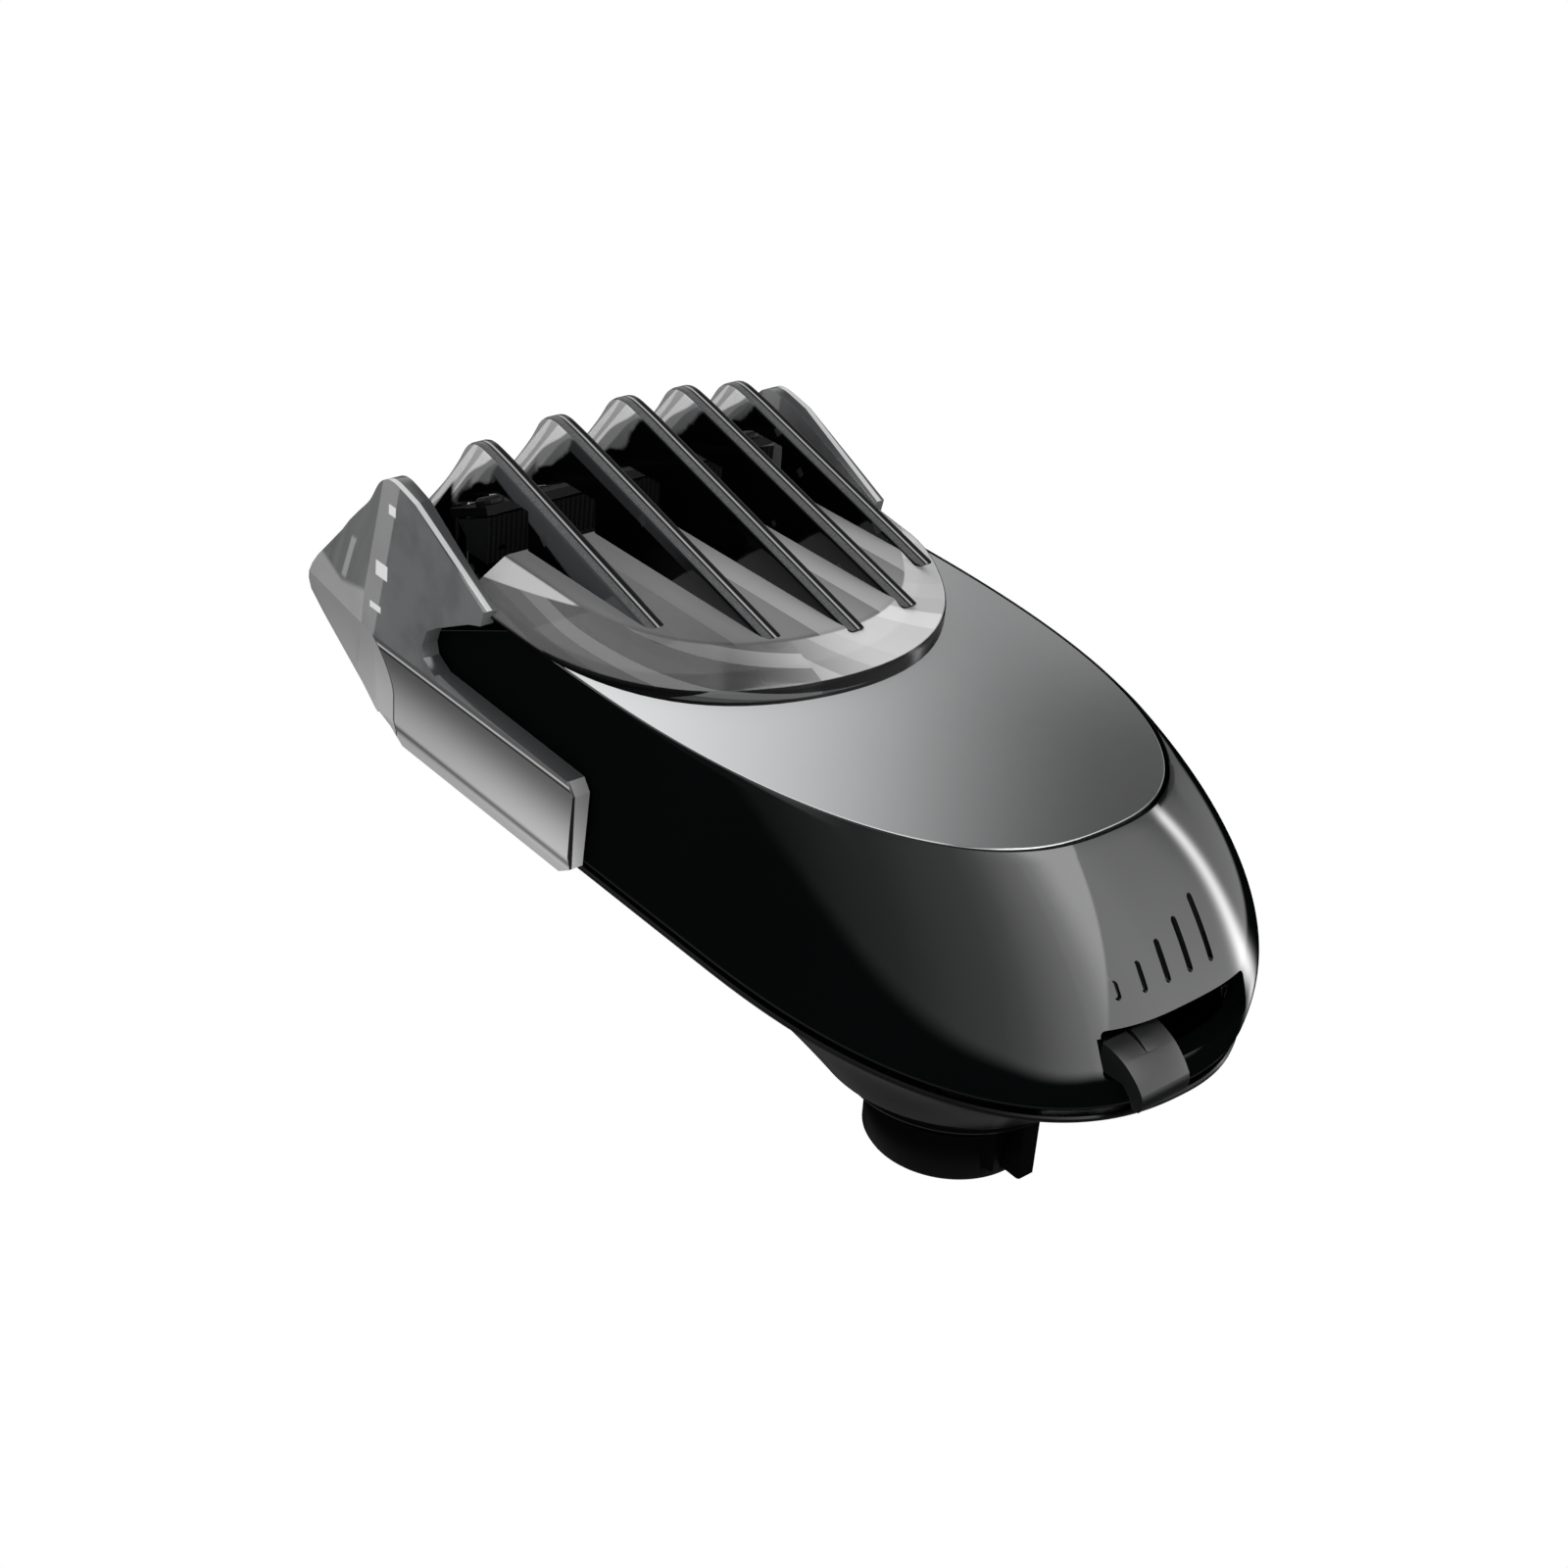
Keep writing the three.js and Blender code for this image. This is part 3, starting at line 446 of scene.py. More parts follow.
def hood_zones(n, place, x, y, z):
    """Grey at the left, pale round the rear, in facets of painted reflection, with a painted highlight on the
    ring's left shoulder and painted shade on the floor between the tines; a grey lip with a black line and
    crescents of painted shadow on it.
    """
    angle = n.math("ARCTAN2", x, n.minus(HOOD_Y, y))
    degrees = n.times(angle, 180 / math.pi)
    trend = n.step(x, -13, 1)
    # facets of painted reflection, slanted at the left and more upright round the rear
    upright = n.math("FLOOR", n.plus(n.times(angle, 6.5), n.times(z, 0.9)))
    slanted = n.math("FLOOR", n.plus(n.times(angle, 2.3), n.times(z, 1.7)))
    scatter = n.add("ShaderNodeTexWhiteNoise")
    scatter.noise_dimensions = "1D"
    n.put(scatter.inputs["W"], n.blend(n.math("GREATER_THAN", trend, 0.5), slanted, upright))
    chance = scatter.outputs["Value"]
    # height as if the lip did not fall towards the sides
    level_z = n.plus(z, n.times(n.step(n.size(degrees), SINK_FROM, SINK_TO), 0.7))
    lip = n.fall(level_z, 37.95, 38.15)
    ring = n.minus(n.fall(z, 39.8, 39.88), lip)
    # sloping ring, with a painted highlight on its left shoulder
    spread = n.blend(chance, n.blend(trend, 0.45, 0.7), n.blend(trend, 1.7, 1.15))
    level = n.times(n.blend(trend, 0.11, 0.8), spread)
    shoulder = n.minus(z, n.plus(39.0, n.times(n.plus(degrees, 104), 0.04)))
    shoulder = n.times(n.fall(degrees, -88, -84), n.step(shoulder, 0, 0.1))
    level = n.blend(shoulder, level, 0.6)
    # floor between the tines: painted shade, darker in the left half of each gap, at the hood's left and
    # towards the front
    share = n.math("FRACT", n.plus(n.times(x, 1 / TINE_PITCH), 0.5))
    floor_shade = n.times(n.blend(trend, 0.05, 0.3), n.blend(share, 1.25, 0.55))
    floor_shade = n.times(floor_shade, n.fall(y, 30, 44))
    level = n.blend(ring, floor_shade, level)
    # lip
    lip_colour = n.mix(n.math("GREATER_THAN", chance, 0.8), grey(0.07, 0.03), grey(0.14))
    colour = n.mix(lip, n.tone(level), lip_colour)
    # painted shadow: a black band along the bottom of the lip, taller towards the right, and black crescents
    # on it
    above_rim = n.minus(n.minus(z, n.times(y, RIM_SLOPE)), 36.43)
    line = n.plus(0.35, n.times(n.step(degrees, -8, 22), 1.5))
    dark = n.times(n.step(n.minus(line, above_rim), -0.05, 0.05), lip)
    for middle, reach, rise, drop in SHADOW_CRESCENTS:
        off = n.over(n.minus(degrees, middle), reach)
        bow = n.minus(1, n.times(off, off))
        under = n.step(n.minus(n.plus(SHADOW_CRESCENT_Z, n.times(bow, rise)), level_z), -0.02, 0.03)
        above = n.step(n.minus(level_z, n.minus(SHADOW_CRESCENT_Z, n.times(bow, drop))), -0.03, 0.03)
        dark = n.most(dark, n.times(n.times(under, above), n.math("GREATER_THAN", bow, 0)))
    colour = n.mix(dark, colour, grey(0.002))
    dull = n.most(lip, dark)
    return colour, n.blend(lip, n.blend(ring, 0.95, 0.8), 0.97), n.times(dull, -0.45)


# crescents of painted shadow on the lip: middle and half width in degrees, and how far each bows up and down
SHADOW_CRESCENTS = [(-63, 21, 0.1, 1.0), (0, 37, 0.06, 1.0)]
SHADOW_CRESCENT_Z = 38.05


def frosted_zones(n, place, x, y, z):
    """Side wall and gripping arm: a painted highlight and painted glints on the front corner, a blotched
    front, and an arm in painted light and shade down its face.
    """
    def between(value, low, high, soft=0.12):
        return n.times(n.step(value, low - soft, low + soft), n.fall(value, high - soft, high + soft))

    def front_colour():
        """The bent front: blotches, a pale foot and a faint slanting loop."""
        streak = n.noise(n.plus(n.times(y, 0.9), n.times(z, 0.5)), 0.35, 1.0)
        blotch = n.mix(n.step(streak, 0.35, 0.7), grey(0.13, 0.02), grey(0.19, 0.01))
        pale = n.step(n.plus(z, n.times(n.size(n.minus(y, 61.5)), -0.25)), 30.6, 31.4)
        blotch = n.mix(pale, n.mix(n.step(z, 20, 31), grey(0.62), grey(0.4)), blotch)
        loop = n.size(n.minus(n.plus(y, n.times(z, 0.55)), 78.4))
        loop = n.times(n.fall(loop, 0.3, 0.6), between(z, 31.6, 36.5, 0.3))
        return n.mix(n.times(loop, 0.8), blotch, grey(0.45))

    def arm_face():
        """The arm's outer face in painted light and shade: pale below and dark above, a dark line near the
        bottom, a highlight line over a dark line at the top, and a painted highlight on the bevel underneath.
        """
        tone = n.blend(n.step(z, 20.3, 28.0), 0.58, 0.11)
        tone = n.times(tone, n.blend(n.step(y, 24, 54), 1.1, 0.8))
        face = n.mix(between(z, 20.35, 20.9, 0.5), n.tone(tone), grey(0.05))
        face = n.mix(between(z, 18.0, 20.0, 0.15), face, grey(0.5))
        face = n.mix(between(z, 27.95, 28.15, 0.06), face, grey(0.5))
        return n.mix(between(z, 27.7, 27.85, 0.06), face, grey(0.02))

    aside, along, upwards = n.normal()
    outer = n.step(n.size(aside), 0.6, 0.8)
    wide = n.size(x)
    # wall, with a painted highlight on the corner before its bent front
    mist = n.noise(place, 0.16, 3.0)
    colour = n.mix(n.step(mist, 0.4, 0.62), grey(0.125, 0.02), grey(0.16, 0.02))
    run = n.plus(y, n.times(z, 0.242))
    front = n.step(run, 64.1, 64.3)
    colour = n.mix(front, colour, front_colour())
    corner = n.times(between(run, 61.7, 64.3), outer)
    colour = n.mix(n.times(corner, 0.8), colour, grey(0.33))
    # arm, up to a curling line where the pale skirt of the wall begins
    curl = n.times(n.math("POWER", n.most(n.minus(z, 24), 0), 1.8), 0.22)
    curl = n.plus(curl, n.times(n.most(n.minus(24, z), 0), 0.08))
    beyond = n.minus(y, n.plus(51.45, curl))
    below = n.fall(z, 28.5, 28.7)
    arm = n.times(below, n.fall(beyond, -0.05, 0.05))
    skirt = n.times(below, n.step(beyond, -0.05, 0.05))
    colour = n.mix(skirt, colour, n.mix(n.step(z, 19, 30), grey(0.55), grey(0.3)))
    colour = n.mix(n.times(between(beyond, -0.1, 0.2, 0.1), below), colour, grey(0.06))
    colour = n.mix(n.times(arm, outer), colour, arm_face())
    for at_y, at_z, half_y, half_z in GLINTS:
        spot = n.times(between(y, at_y - half_y, at_y + half_y, 0.05),
                       between(z, at_z - half_z, at_z + half_z, 0.05))
        colour = n.mix(n.times(spot, outer), colour, grey(0.85))
    # top of the arm and ridge of the wall: top faces painted dark, with a painted highlight line on the
    # wall's ridge
    lit_ridge = n.times(between(wide, 20.85, 21.35, 0.05), n.step(z, 35.5, 37.5))
    ridge = n.mix(lit_ridge, grey(0.06, 0.04), grey(0.6))
    colour = n.mix(n.step(upwards, 0.55, 0.75), colour, n.mix(arm, ridge, grey(0.05, 0.05)))
    # rear end of the arm
    end = n.times(n.fall(along, -0.8, -0.6), arm)
    facet = n.mix(n.step(z, 20, 28), grey(0.75), grey(0.32))
    facet = n.mix(n.step(n.plus(wide, n.times(z, -0.05)), 20.55, 20.62), facet, grey(0.02))
    colour = n.mix(end, colour, facet)
    solidity = n.blend(arm, n.blend(front, 0.95, 0.85), 1.0)
    return colour, solidity, n.blend(outer, 0.0, -0.25)


# small lights at the wall's front corner: y and z of the middle, and half the width and height
GLINTS = [(52.2, 41.3, 0.55, 0.45), (53.7, 35.2, 0.95, 0.7), (54.6, 31.4, 0.9, 0.3)]

# ---------------------------------------------------------------- housing

HALF, LOW, FRONT, ROUND = 20.2, 19.6, 50.0, 2.463
RIM_START, RIM_SLOPE = 35.93, 0.017
ARC, SIDE, CORNER = 220, 26, 10


def rim_height(y):
    return RIM_START + RIM_SLOPE * y


def top_height(y):
    """The panel's gentle slope, and the steeper deck in front of it."""
    return min(rim_height(y), 52.022 - 0.43 * y)


def rear_edge(rise):
    """How the leaning rear wall moves forwards; rise is 0 at z 20 and 1 at z 36."""
    return -23.5 + 3.94 * rise + 7.36 * rise * rise


def shoulder_line(rise):
    """Where the round rear meets the straight sides."""
    return 10.7 + 20.55 * rise


def outline_point(index, z, inset):
    """One point of the housing's outline at a height, counted from the left shoulder round the rear."""
    rise = (z - 20) / 16
    rear = rear_edge(rise) + inset
    shoulder = shoulder_line(rise)
    half = HALF - inset
    corner = max(3 - inset, 0.6)
    front = FRONT - inset
    if index <= ARC:
        angle = math.pi * (index / ARC - 0.5)
        rise = min(max((z - LOW) / 16.4, 0), 1)
        # the right rear is a little fuller part way up
        fuller = 2.9 * rise * (1 - rise) - 0.35 * (1 - rise) ** 3 if index > ARC / 2 else 0
        across = math.copysign(abs(math.sin(angle)) ** (2 / (ROUND + fuller)), angle)
        along = abs(math.cos(angle)) ** (2 / (ROUND + fuller))
        return half * across, shoulder - (shoulder - rear) * along
    index -= ARC
    if index <= SIDE:
        return half, shoulder + (front - corner - shoulder) * index / SIDE
    index -= SIDE
    if index <= CORNER:
        a = math.pi / 2 * index / CORNER
        return half - corner + corner * math.cos(a), front - corner + corner * math.sin(a)
    index -= CORNER
    # the left front corner and side, back to the shoulder
    if index <= CORNER:
        a = math.pi / 2 * (1 + (index - 1) / (CORNER - 1))
        return -(half - corner) + corner * math.cos(a), front - corner + corner * math.sin(a)
    index -= CORNER
    return -half, front - corner + (shoulder - front + corner) * index / SIDE


COUNT = ARC + 2 * SIDE + 2 * CORNER


def housing_ring(share, inset):
    """A ring part way up the housing: share 0 is the bottom edge, 1 the sloping top."""
    ring = []
    for index in range(COUNT):
        z = 30.0
        for _ in range(12):
            x, y = outline_point(index, z, inset)
            z = LOW + share * (top_height(y) - LOW)
        ring.append((x, y, z))
    return ring


def flat_ring(z, inset):
    """The outline at one height."""
    return [(*outline_point(index, z, inset), z) for index in range(COUNT)]


def mark_cutter(x, low, high):
    """A slot with round ends, cut 0.35 mm into the leaning rear wall."""
    count = 10
    width = 0.28
    outline = []
    for k in range(count + 1):
        a = math.pi * k / count
        outline.append((x + width * math.cos(a), high - width + width * math.sin(a)))
    for k in range(count + 1):
        a = math.pi * (1 + k / count)
        outline.append((x + width * math.cos(a), low + width + width * math.sin(a)))
    levels = []
    for depth in (-0.6, 0.35):
        ring = []
        for px, pz in outline:
            rise = (pz - 20) / 16
            shoulder = shoulder_line(rise)
            y = shoulder - (shoulder - rear_edge(rise)) * (1 - abs(px / HALF) ** ROUND) ** (1 / ROUND)
            ring.append((px, y + depth, pz))
        levels.append(ring)
    return loft("mark_cutter", levels)


def slot_cutter():
    """The slider's window: rounded corners, its ends nearly upright."""
    corners = [(-7.45, 22.0), (7.7, 22.0), (7.7, 25.3), (-7.1, 25.3)]
    starts = [math.pi, 1.5 * math.pi, 0, 0.5 * math.pi]
    outline = []
    radius = 0.45
    for k, ((x, z), start) in enumerate(zip(corners, starts)):
        centre = (x - math.copysign(radius, x), z + (radius if k < 2 else -radius))
        for s in range(6):
            a = start + math.pi / 2 * s / 5
            outline.append((centre[0] + radius * math.cos(a), centre[1] + radius * math.sin(a)))
    return prism("slot_cutter", outline, "y", -30, -14)


MARK_PITCH = 2.36
WALL_THICK, FOOT_RADIUS = 1.6, 0.75


def build_housing():
    """Gloss shell: a rounded foot, the leaning wall, the panel's recess, and the wall's inner side."""
    rings = [flat_ring(LOW + 0.25, WALL_THICK), flat_ring(LOW, 1.35), flat_ring(LOW, FOOT_RADIUS)]
    for k in range(1, 7):
        a = math.pi / 2 * k / 6
        rings.append(flat_ring(LOW + FOOT_RADIUS * (1 - math.cos(a)), FOOT_RADIUS * (1 - math.sin(a))))
    low, high = 0.046, 0.985
    for k in range(1, 41):
        rings.append(housing_ring(low + (high - low) * k / 40, 0))
    rings += [housing_ring(share, inset) for share, inset in ((1, 0.06), (1, 0.18), (0.99, 0.2), (0.9, 0.2))]
    rings += [housing_ring(share, WALL_THICK) for share in (0.88, 0.65, 0.4, 0.2, 0.08)]
    shell = loft("housing_shell", rings, closed=True)
    marks = [(-0.3 + MARK_PITCH * (k - 2), 27.0, 28.25 + 0.75 * k) for k in range(5)]
    cut(shell, slot_cutter(), *(mark_cutter(*mark) for mark in marks))
    guide = [(28.1, 24.9), (37.3, 24.9), (37.3, 27.3), (28.1, 27.3)]
    for low_x, high_x in ((-24, -17), (17, 24)):
        cut(shell, prism("window", guide, "x", low_x, high_x))
    soften(shell, 32)
    finish_piece(shell, "housing", GLOSS, "gloss_black", "upper_housing")


def plate_outline(inset, low, high):
    """The housing's top outline between two y values."""
    points = [outline_point(index, RIM_START, inset) for index in range(COUNT)]
    kept = []
    for index, (x, y) in enumerate(points):
        following = points[(index + 1) % COUNT]
        if low <= y <= high:
            kept.append((x, y))
        for edge in (low, high):
            if (y - edge) * (following[1] - edge) < 0:
                t = (edge - y) / (following[1] - y)
                kept.append((x + (following[0] - x) * t, edge))
    return kept


def sloping_plate(name, outline, thick):
    """A plate whose top follows the housing's."""
    top = [(x, y, top_height(y) - 0.01) for x, y in outline]
    bottom = [(x, y, z - thick) for x, y, z in top]
    return loft(name, [bottom, top])


def build_panel():
    """Satin plate in the housing's top, from the rear to the deck."""
    panel = sloping_plate("top_plate", plate_outline(0.3, -30, 35.75), 1.1)
    bevel(panel, 0.1, 2)
    soften(settle(panel), 12)
    finish_piece(panel, "housing", SATIN_PANEL, "satin_grey", "top_panel")


def build_deck():
    """Gloss plate that slopes down in front of the panel, with a hole for the rocker."""
    deck = sloping_plate("front_deck", plate_outline(0.3, 36, 60), 1.4)
    rocker_hole = [(-4.6, 39.2), (4.6, 39.2), (4.6, 43.8), (-4.6, 43.8)]
    cut(deck, prism("rocker_hole", rocker_hole, "z", 25, 45))
    bevel(deck, 0.1, 2)
    soften(settle(deck), 12)
    finish_piece(deck, "housing", GLOSS, "gloss_black")


def build_belly():
    """Satin shell that falls from the seam to the coupling's flange."""
    seam = LOW - 0.3
    foot = 9.6

    def ring(inset, z, share):
        """Share 0 is the housing's outline, 1 the round foot."""
        radius = 12.2
        out = []
        for x, y, _ in flat_ring(seam, inset):
            angle = math.atan2(y - 6 * (1 - share), x)
            round_x, round_y = radius * math.cos(angle), radius * math.sin(angle)
            out.append((x + (round_x - x) * share, y + (round_y - y) * share, z))
        return out
    lip = [(0.25, 0), (0.1, 0.12), (0.16, 0.45), (0.5, 0.75), (1.2, 1.1)]
    outer = [ring(inset, seam - drop, 0) for inset, drop in lip]
    for k in range(1, 25):
        share = k / 24
        fall = share ** 1.12
        bow = 0.35 * math.sin(math.pi * share)
        outer.append(ring(1.2 + 1.2 * bow, seam - 1.1 + (foot - seam + 1.1) * fall, share))
    inner = [[(x * 0.72, y * 0.72, z) for x, y, _ in outer[-1]] for z in (foot, 11.5)]
    inner += [ring(1.7, seam - 0.2, 0)]
    shell = loft("belly_shell", outer + inner, closed=True)
    soften(shell, 40)
    finish_piece(shell, "housing", SATIN_BLACK, "satin_black", "lower_shell")


def build_coupling():
    """Spigot, neck and two flanges turned in one, with a key and a small rib at the rear."""
    spigot = [(5.4, 0.3), (5.6, 0.0), (6.7, 0.0), (7.1, 0.12), (7.3, 0.45), (7.3, 4.3), (7.22, 4.6)]
    neck = [(7.0, 4.75), (6.5, 4.8), (6.42, 4.95), (6.42, 6.9), (6.6, 7.1)]
    flange = [(9.6, 7.1), (10.0, 7.18), (10.2, 7.45), (10.2, 7.85), (10.02, 8.05), (9.7, 8.12)]
    upper_flange = [(9.6, 8.25), (9.65, 8.4), (9.95, 8.55), (10.1, 8.75), (10.0, 9.1), (9.7, 9.3)]
    inside = [(7.9, 9.3), (7.9, 10.9), (4.3, 10.9), (4.3, 8.2), (5.4, 8.2)]
    collar = lathe("coupling_ring", spigot + neck + flange + upper_flange + inside, 160)
    key = [(-0.9, -9.1), (-0.75, -9.3), (0.75, -9.3), (0.9, -9.1), (0.9, -6.1), (-0.9, -6.1)]
    rib = [(-2.6, -7.75), (-2.35, -7.75), (-2.1, -6.2), (-2.9, -6.2)]
    combine(collar, prism("key", key, "z", 1.0, 7.2), "UNION")
    combine(collar, prism("rib", rib, "z", 1.6, 7.2), "UNION")
    soften(collar, 32)
    finish_piece(collar, "housing", SATIN_BLACK, "satin_black", "coupling_collar")


# ---------------------------------------------------------------- slider

SLIDER_TRAVEL, COMB_TRAVEL = 9.44, 4
SLIDER_X = -SLIDER_TRAVEL / 2


def build_tab():
    """The finger tab: an arched profile, narrower outwards, with a pointer notch."""
    top = curve_through([(-20.9, 24.95), (-22, 24.75), (-23.2, 24.25), (-24.3, 23.4), (-24.98, 22.6)], 6)
    end = curve_through([(-24.98, 22.6), (-25.14, 22.1), (-25.12, 21.5), (-24.9, 21.05)], 4)[1:]
    under = [(-24.3, 21.1), (-23.9, 21.9), (-23.2, 22.6), (-20.9, 22.6)]
    tab = prism("slider_tab", top + end + under, "x", SLIDER_X - 2.72, SLIDER_X + 2.72)
    for vertex in tab.data.vertices:
        y = vertex.co.y / MM
        across = vertex.co.x / MM - SLIDER_X
        vertex.co.x = (SLIDER_X + across * (1 - 0.022 * max(0, -21 - y))) * MM
    notch = [(SLIDER_X - 0.3, -23.5), (SLIDER_X + 0.3, -20), (SLIDER_X - 0.3, -20)]
    cut(tab, prism("pointer", notch, "z", 24.35, 26))
    bevel(tab, 0.16, 3, 40)
    soften(settle(tab), 40)
    finish_piece(tab, "slider", TAB_BLACK, "satin_black")


def groove_outline():
    """A slanting slot with round ends that turns the slider's travel into the comb's."""
    run = math.hypot(COMB_TRAVEL, SLIDER_TRAVEL) / 2
    slant = -math.atan2(COMB_TRAVEL, SLIDER_TRAVEL)
    radius, middle_y = 1.15, -10.6
    outline = []
    for end in (1, -1):
        for k in range(21):
            a = math.pi * (k / 20 - 0.5 * end)
            x = end * run + radius * math.cos(a)
            y = radius * math.sin(a)
            outline.append((x * math.cos(slant) - y * math.sin(slant) + SLIDER_X,
                            x * math.sin(slant) + y * math.cos(slant) + middle_y))
    return outline


def build_plate():
    """The slider's plate inside the housing, with a tongue out to the tab."""
    right = [(2.2, -20.9), (2.2, -15), (5.5, -15), (6.9, -13.6), (6.9, -6.6)]
    left = [(-x, y) for x, y in right[::-1]]
    plate = prism("slider_plate", left + right, "z", 22.6, 24.6)
    for vertex in plate.data.vertices:
        vertex.co.x += SLIDER_X * MM
    cut(plate, prism("groove", groove_outline(), "z", 20, 26))
    bevel(plate, 0.15, 2, 40)
    soften(settle(plate), 40)
    finish_piece(plate, "slider", SATIN_BLACK, "satin_black", "length_slider")


# ---------------------------------------------------------------- comb

TINE_PITCH, TINE_THICK = 6.8, 1.8

# rear end and peak of each ridge, from the middle tine out to the wall
RIDGES = [((16.2, 39.78), (48.6, 48.6)), ((17.4, 39.6), (49.2, 48.0)), ((23.0, 39.35), (50.3, 46.7)),
          ((37.8, 37.9), (52.9, 43.9))]
TIP = [(66.8, 31.2), (68.2, 29.8), (69.1, 28.6), (69.25, 27.8), (68.8, 26.9)]
# the room under the tines, over the blade and over its two screws
CLEAR_OVER_BLADE = [(42.4, 38.9), (42.4, 42.75), (46.9, 42.7), (53.95, 39.6), (53.95, 27.4)]
CLEAR_OVER_SCREW = [(42.4, 38.9), (42.4, 43.3), (46.8, 43.3), (50.4, 41.78), (50.6, 41.05)]
CLEAR_OVER_SCREW += CLEAR_OVER_BLADE[3:]


def skin(y):
    """Height of the slanting front, which gets flatter towards the tips."""
    return SKIN_HEIGHT - SKIN_SLOPE * y if y <= 56 else 40.37 - 0.852 * (y - 56)


def ridge_line(rear, peak):
    """From the ridge's rear end over a rounded peak and down the slanting front."""
    y, z = peak
    over = [(y + ahead, z + lift) for ahead, lift in
            ((-4.2, -0.72), (-2.2, -0.22), (-0.8, 0.03), (0.4, -0.14), (1.6, -0.95))]
    down = [(y + ahead, skin(y + ahead) + lift) for ahead, lift in ((3.0, 0.45), (5.0, 0.3), (8.0, 0))]
    return [rear] + curve_through(over + down, 5) + [(v, skin(v)) for v in (60, 63.5) if v > y + 8]


def build_tine(index):
    """One of the five inner tines; index 0 is the middle one."""
    rear, peak = RIDGES[abs(index)]
    clear = CLEAR_OVER_SCREW if abs(index) == 2 else CLEAR_OVER_BLADE
    outline = ridge_line(rear, peak) + TIP + [(64.6, 23.7), (58, 24.6)]
    outline += clear[::-1] + [(rear[0] + 1.2, 38.9)]
    centre = index * TINE_PITCH
    tine = prism(f"comb_tine_{index + 3}", outline, "x", centre - TINE_THICK / 2, centre + TINE_THICK / 2)
    bevel(tine, 0.42, 3, 25)
    soften(settle(tine), 40)
    # the first tine from the left has a slate wedge of painted reflection, the second a band under its ridge
    band_depth = 1.0 if index == -1 else 0
    zones = tine_zones(centre, rear, peak, band_depth, index == -2)
    finish_piece(tine, "comb", smoke(f"smoke_tine_{index + 3}", zones), "smoked_clear")


def build_wall(side):
    """A side wall with its gripping arm: the side outline, kept inside a plan and a leaning section."""
    lower_edge = [(66.0, 25.65), (61.7, 24.05), (57.6, 22.55), (54.0, 20.85), (50.9, 19.1)]
    arm = [(26.4, 19.1), (24.9, 20.0), (24.1, 27.4), (24.9, 28.5), (44.8, 29.0)]
    notch = [(46.6, 29.9), (46.9, 31.0), (46.2, 32.6), (44.6, 33.6), (40, 35.9), (38.2, 36.5)]
    plan = [(22.2, 15), (22.2, 54.8), (20.2, 72), (18.5, 72), (19.5, 53.9), (19.5, 15)]
    section = [(20.5, 10), (21.85, 10), (21.85, 20.2), (22.15, 21.4), (22.2, 24), (22.2, 28.5), (21.3, 45),
               (19.6, 45), (20.5, 37.5)]
    front_section = [(10, 10), (22.2, 10), (22.2, 28.5), (21.3, 45), (21.3, 60), (10, 60)]
    lug_groove = [(28.1, 15), (33.3, 15), (33.3, 27.3), (28.1, 27.3)]
    wall = prism("comb_wall", ridge_line(*RIDGES[3]) + TIP + lower_edge + arm + notch, "x", 15, 25)
    lean = prism("lean", section, "y", 5, 54.6)
    combine(lean, prism("front", front_section, "y", 54.4, 80), "UNION")
    combine(wall, prism("bent", plan, "z", 10, 60), "INTERSECT")
    combine(wall, lean, "INTERSECT")
    cut(wall, prism("lug_groove", lug_groove, "x", 19, 21.6))
    if side < 0:
        # mirrored
        for vertex in wall.data.vertices:
            vertex.co.x *= -1
        wall.data.flip_normals()
    bevel(wall, 0.22, 3, 25)
    soften(settle(wall), 40)
    wall.name = "comb_wall_left" if side < 0 else "comb_wall_right"
    finish_piece(wall, "comb", FROSTED, "smoked_clear")


HOOD_Y = 33
SINK_FROM, SINK_TO = 30, 75


def hood_ring(half, depth, z, front=42.4, sink=0.0):
    """Half an ellipse round the rear, fuller at the left and slimmer at the right; its sides sink."""
    ring = []
    count = 48
    for k in range(count + 1):
        a = math.pi * (k / count - 0.5)
        left, right = (math.degrees(a) + 45) / 25, (math.degrees(a) - 55) / 36
        grow = 1 + 0.045 * math.exp(-left * left) - 0.11 * math.exp(-right * right)
        aside = min(max((abs(math.degrees(a)) - SINK_FROM) / (SINK_TO - SINK_FROM), 0), 1)
        fall = sink * aside * aside * (3 - 2 * aside)
        ring.append((half * math.sin(a) * grow, HOOD_Y - depth * math.cos(a) * grow, z - fall))
    z -= sink
    middle = (HOOD_Y + front) / 2
    return ring + [(half, middle, z), (half, front, z), (-half, front, z), (-half, middle, z)]


def build_hood():
    """A raised lip on the panel, a sloping ring above it and a flat top, hollow underneath."""
    def lifted(ring, gap):
        """The ring raised where it would come nearer to the panel than the gap."""
        return [(x, y, max(z, rim_height(y) + gap)) for x, y, z in ring]
    outer = [lifted(hood_ring(20.6, 19.9, 36), 0.35), lifted(hood_ring(20.85, 20.15, 36), 0.5),
             lifted(hood_ring(20.9, 20.2, 37), 0.7), hood_ring(20.9, 20.2, 37.85, sink=0.6),
             hood_ring(20.75, 20.05, 38.08, sink=0.7), hood_ring(20.5, 19.8, 38.22, sink=0.75)]
    outer += [hood_ring(16.7, 16.2, 39.82), hood_ring(16.5, 16.0, 39.9), hood_ring(16.2, 15.7, 39.93)]
    hood = loft("comb_hood", outer)
    room = [lifted(hood_ring(19.9, 19.2, 30, 50), -5), lifted(hood_ring(19.9, 19.2, 37.1, 50), 0)]
    room += [hood_ring(16.0, 15.5, 38.75, 50)]
    cut(hood, loft("hood_room", room))
    soften(hood, 25)
    finish_piece(hood, "comb", HOOD_SMOKE, "smoked_clear", "comb")


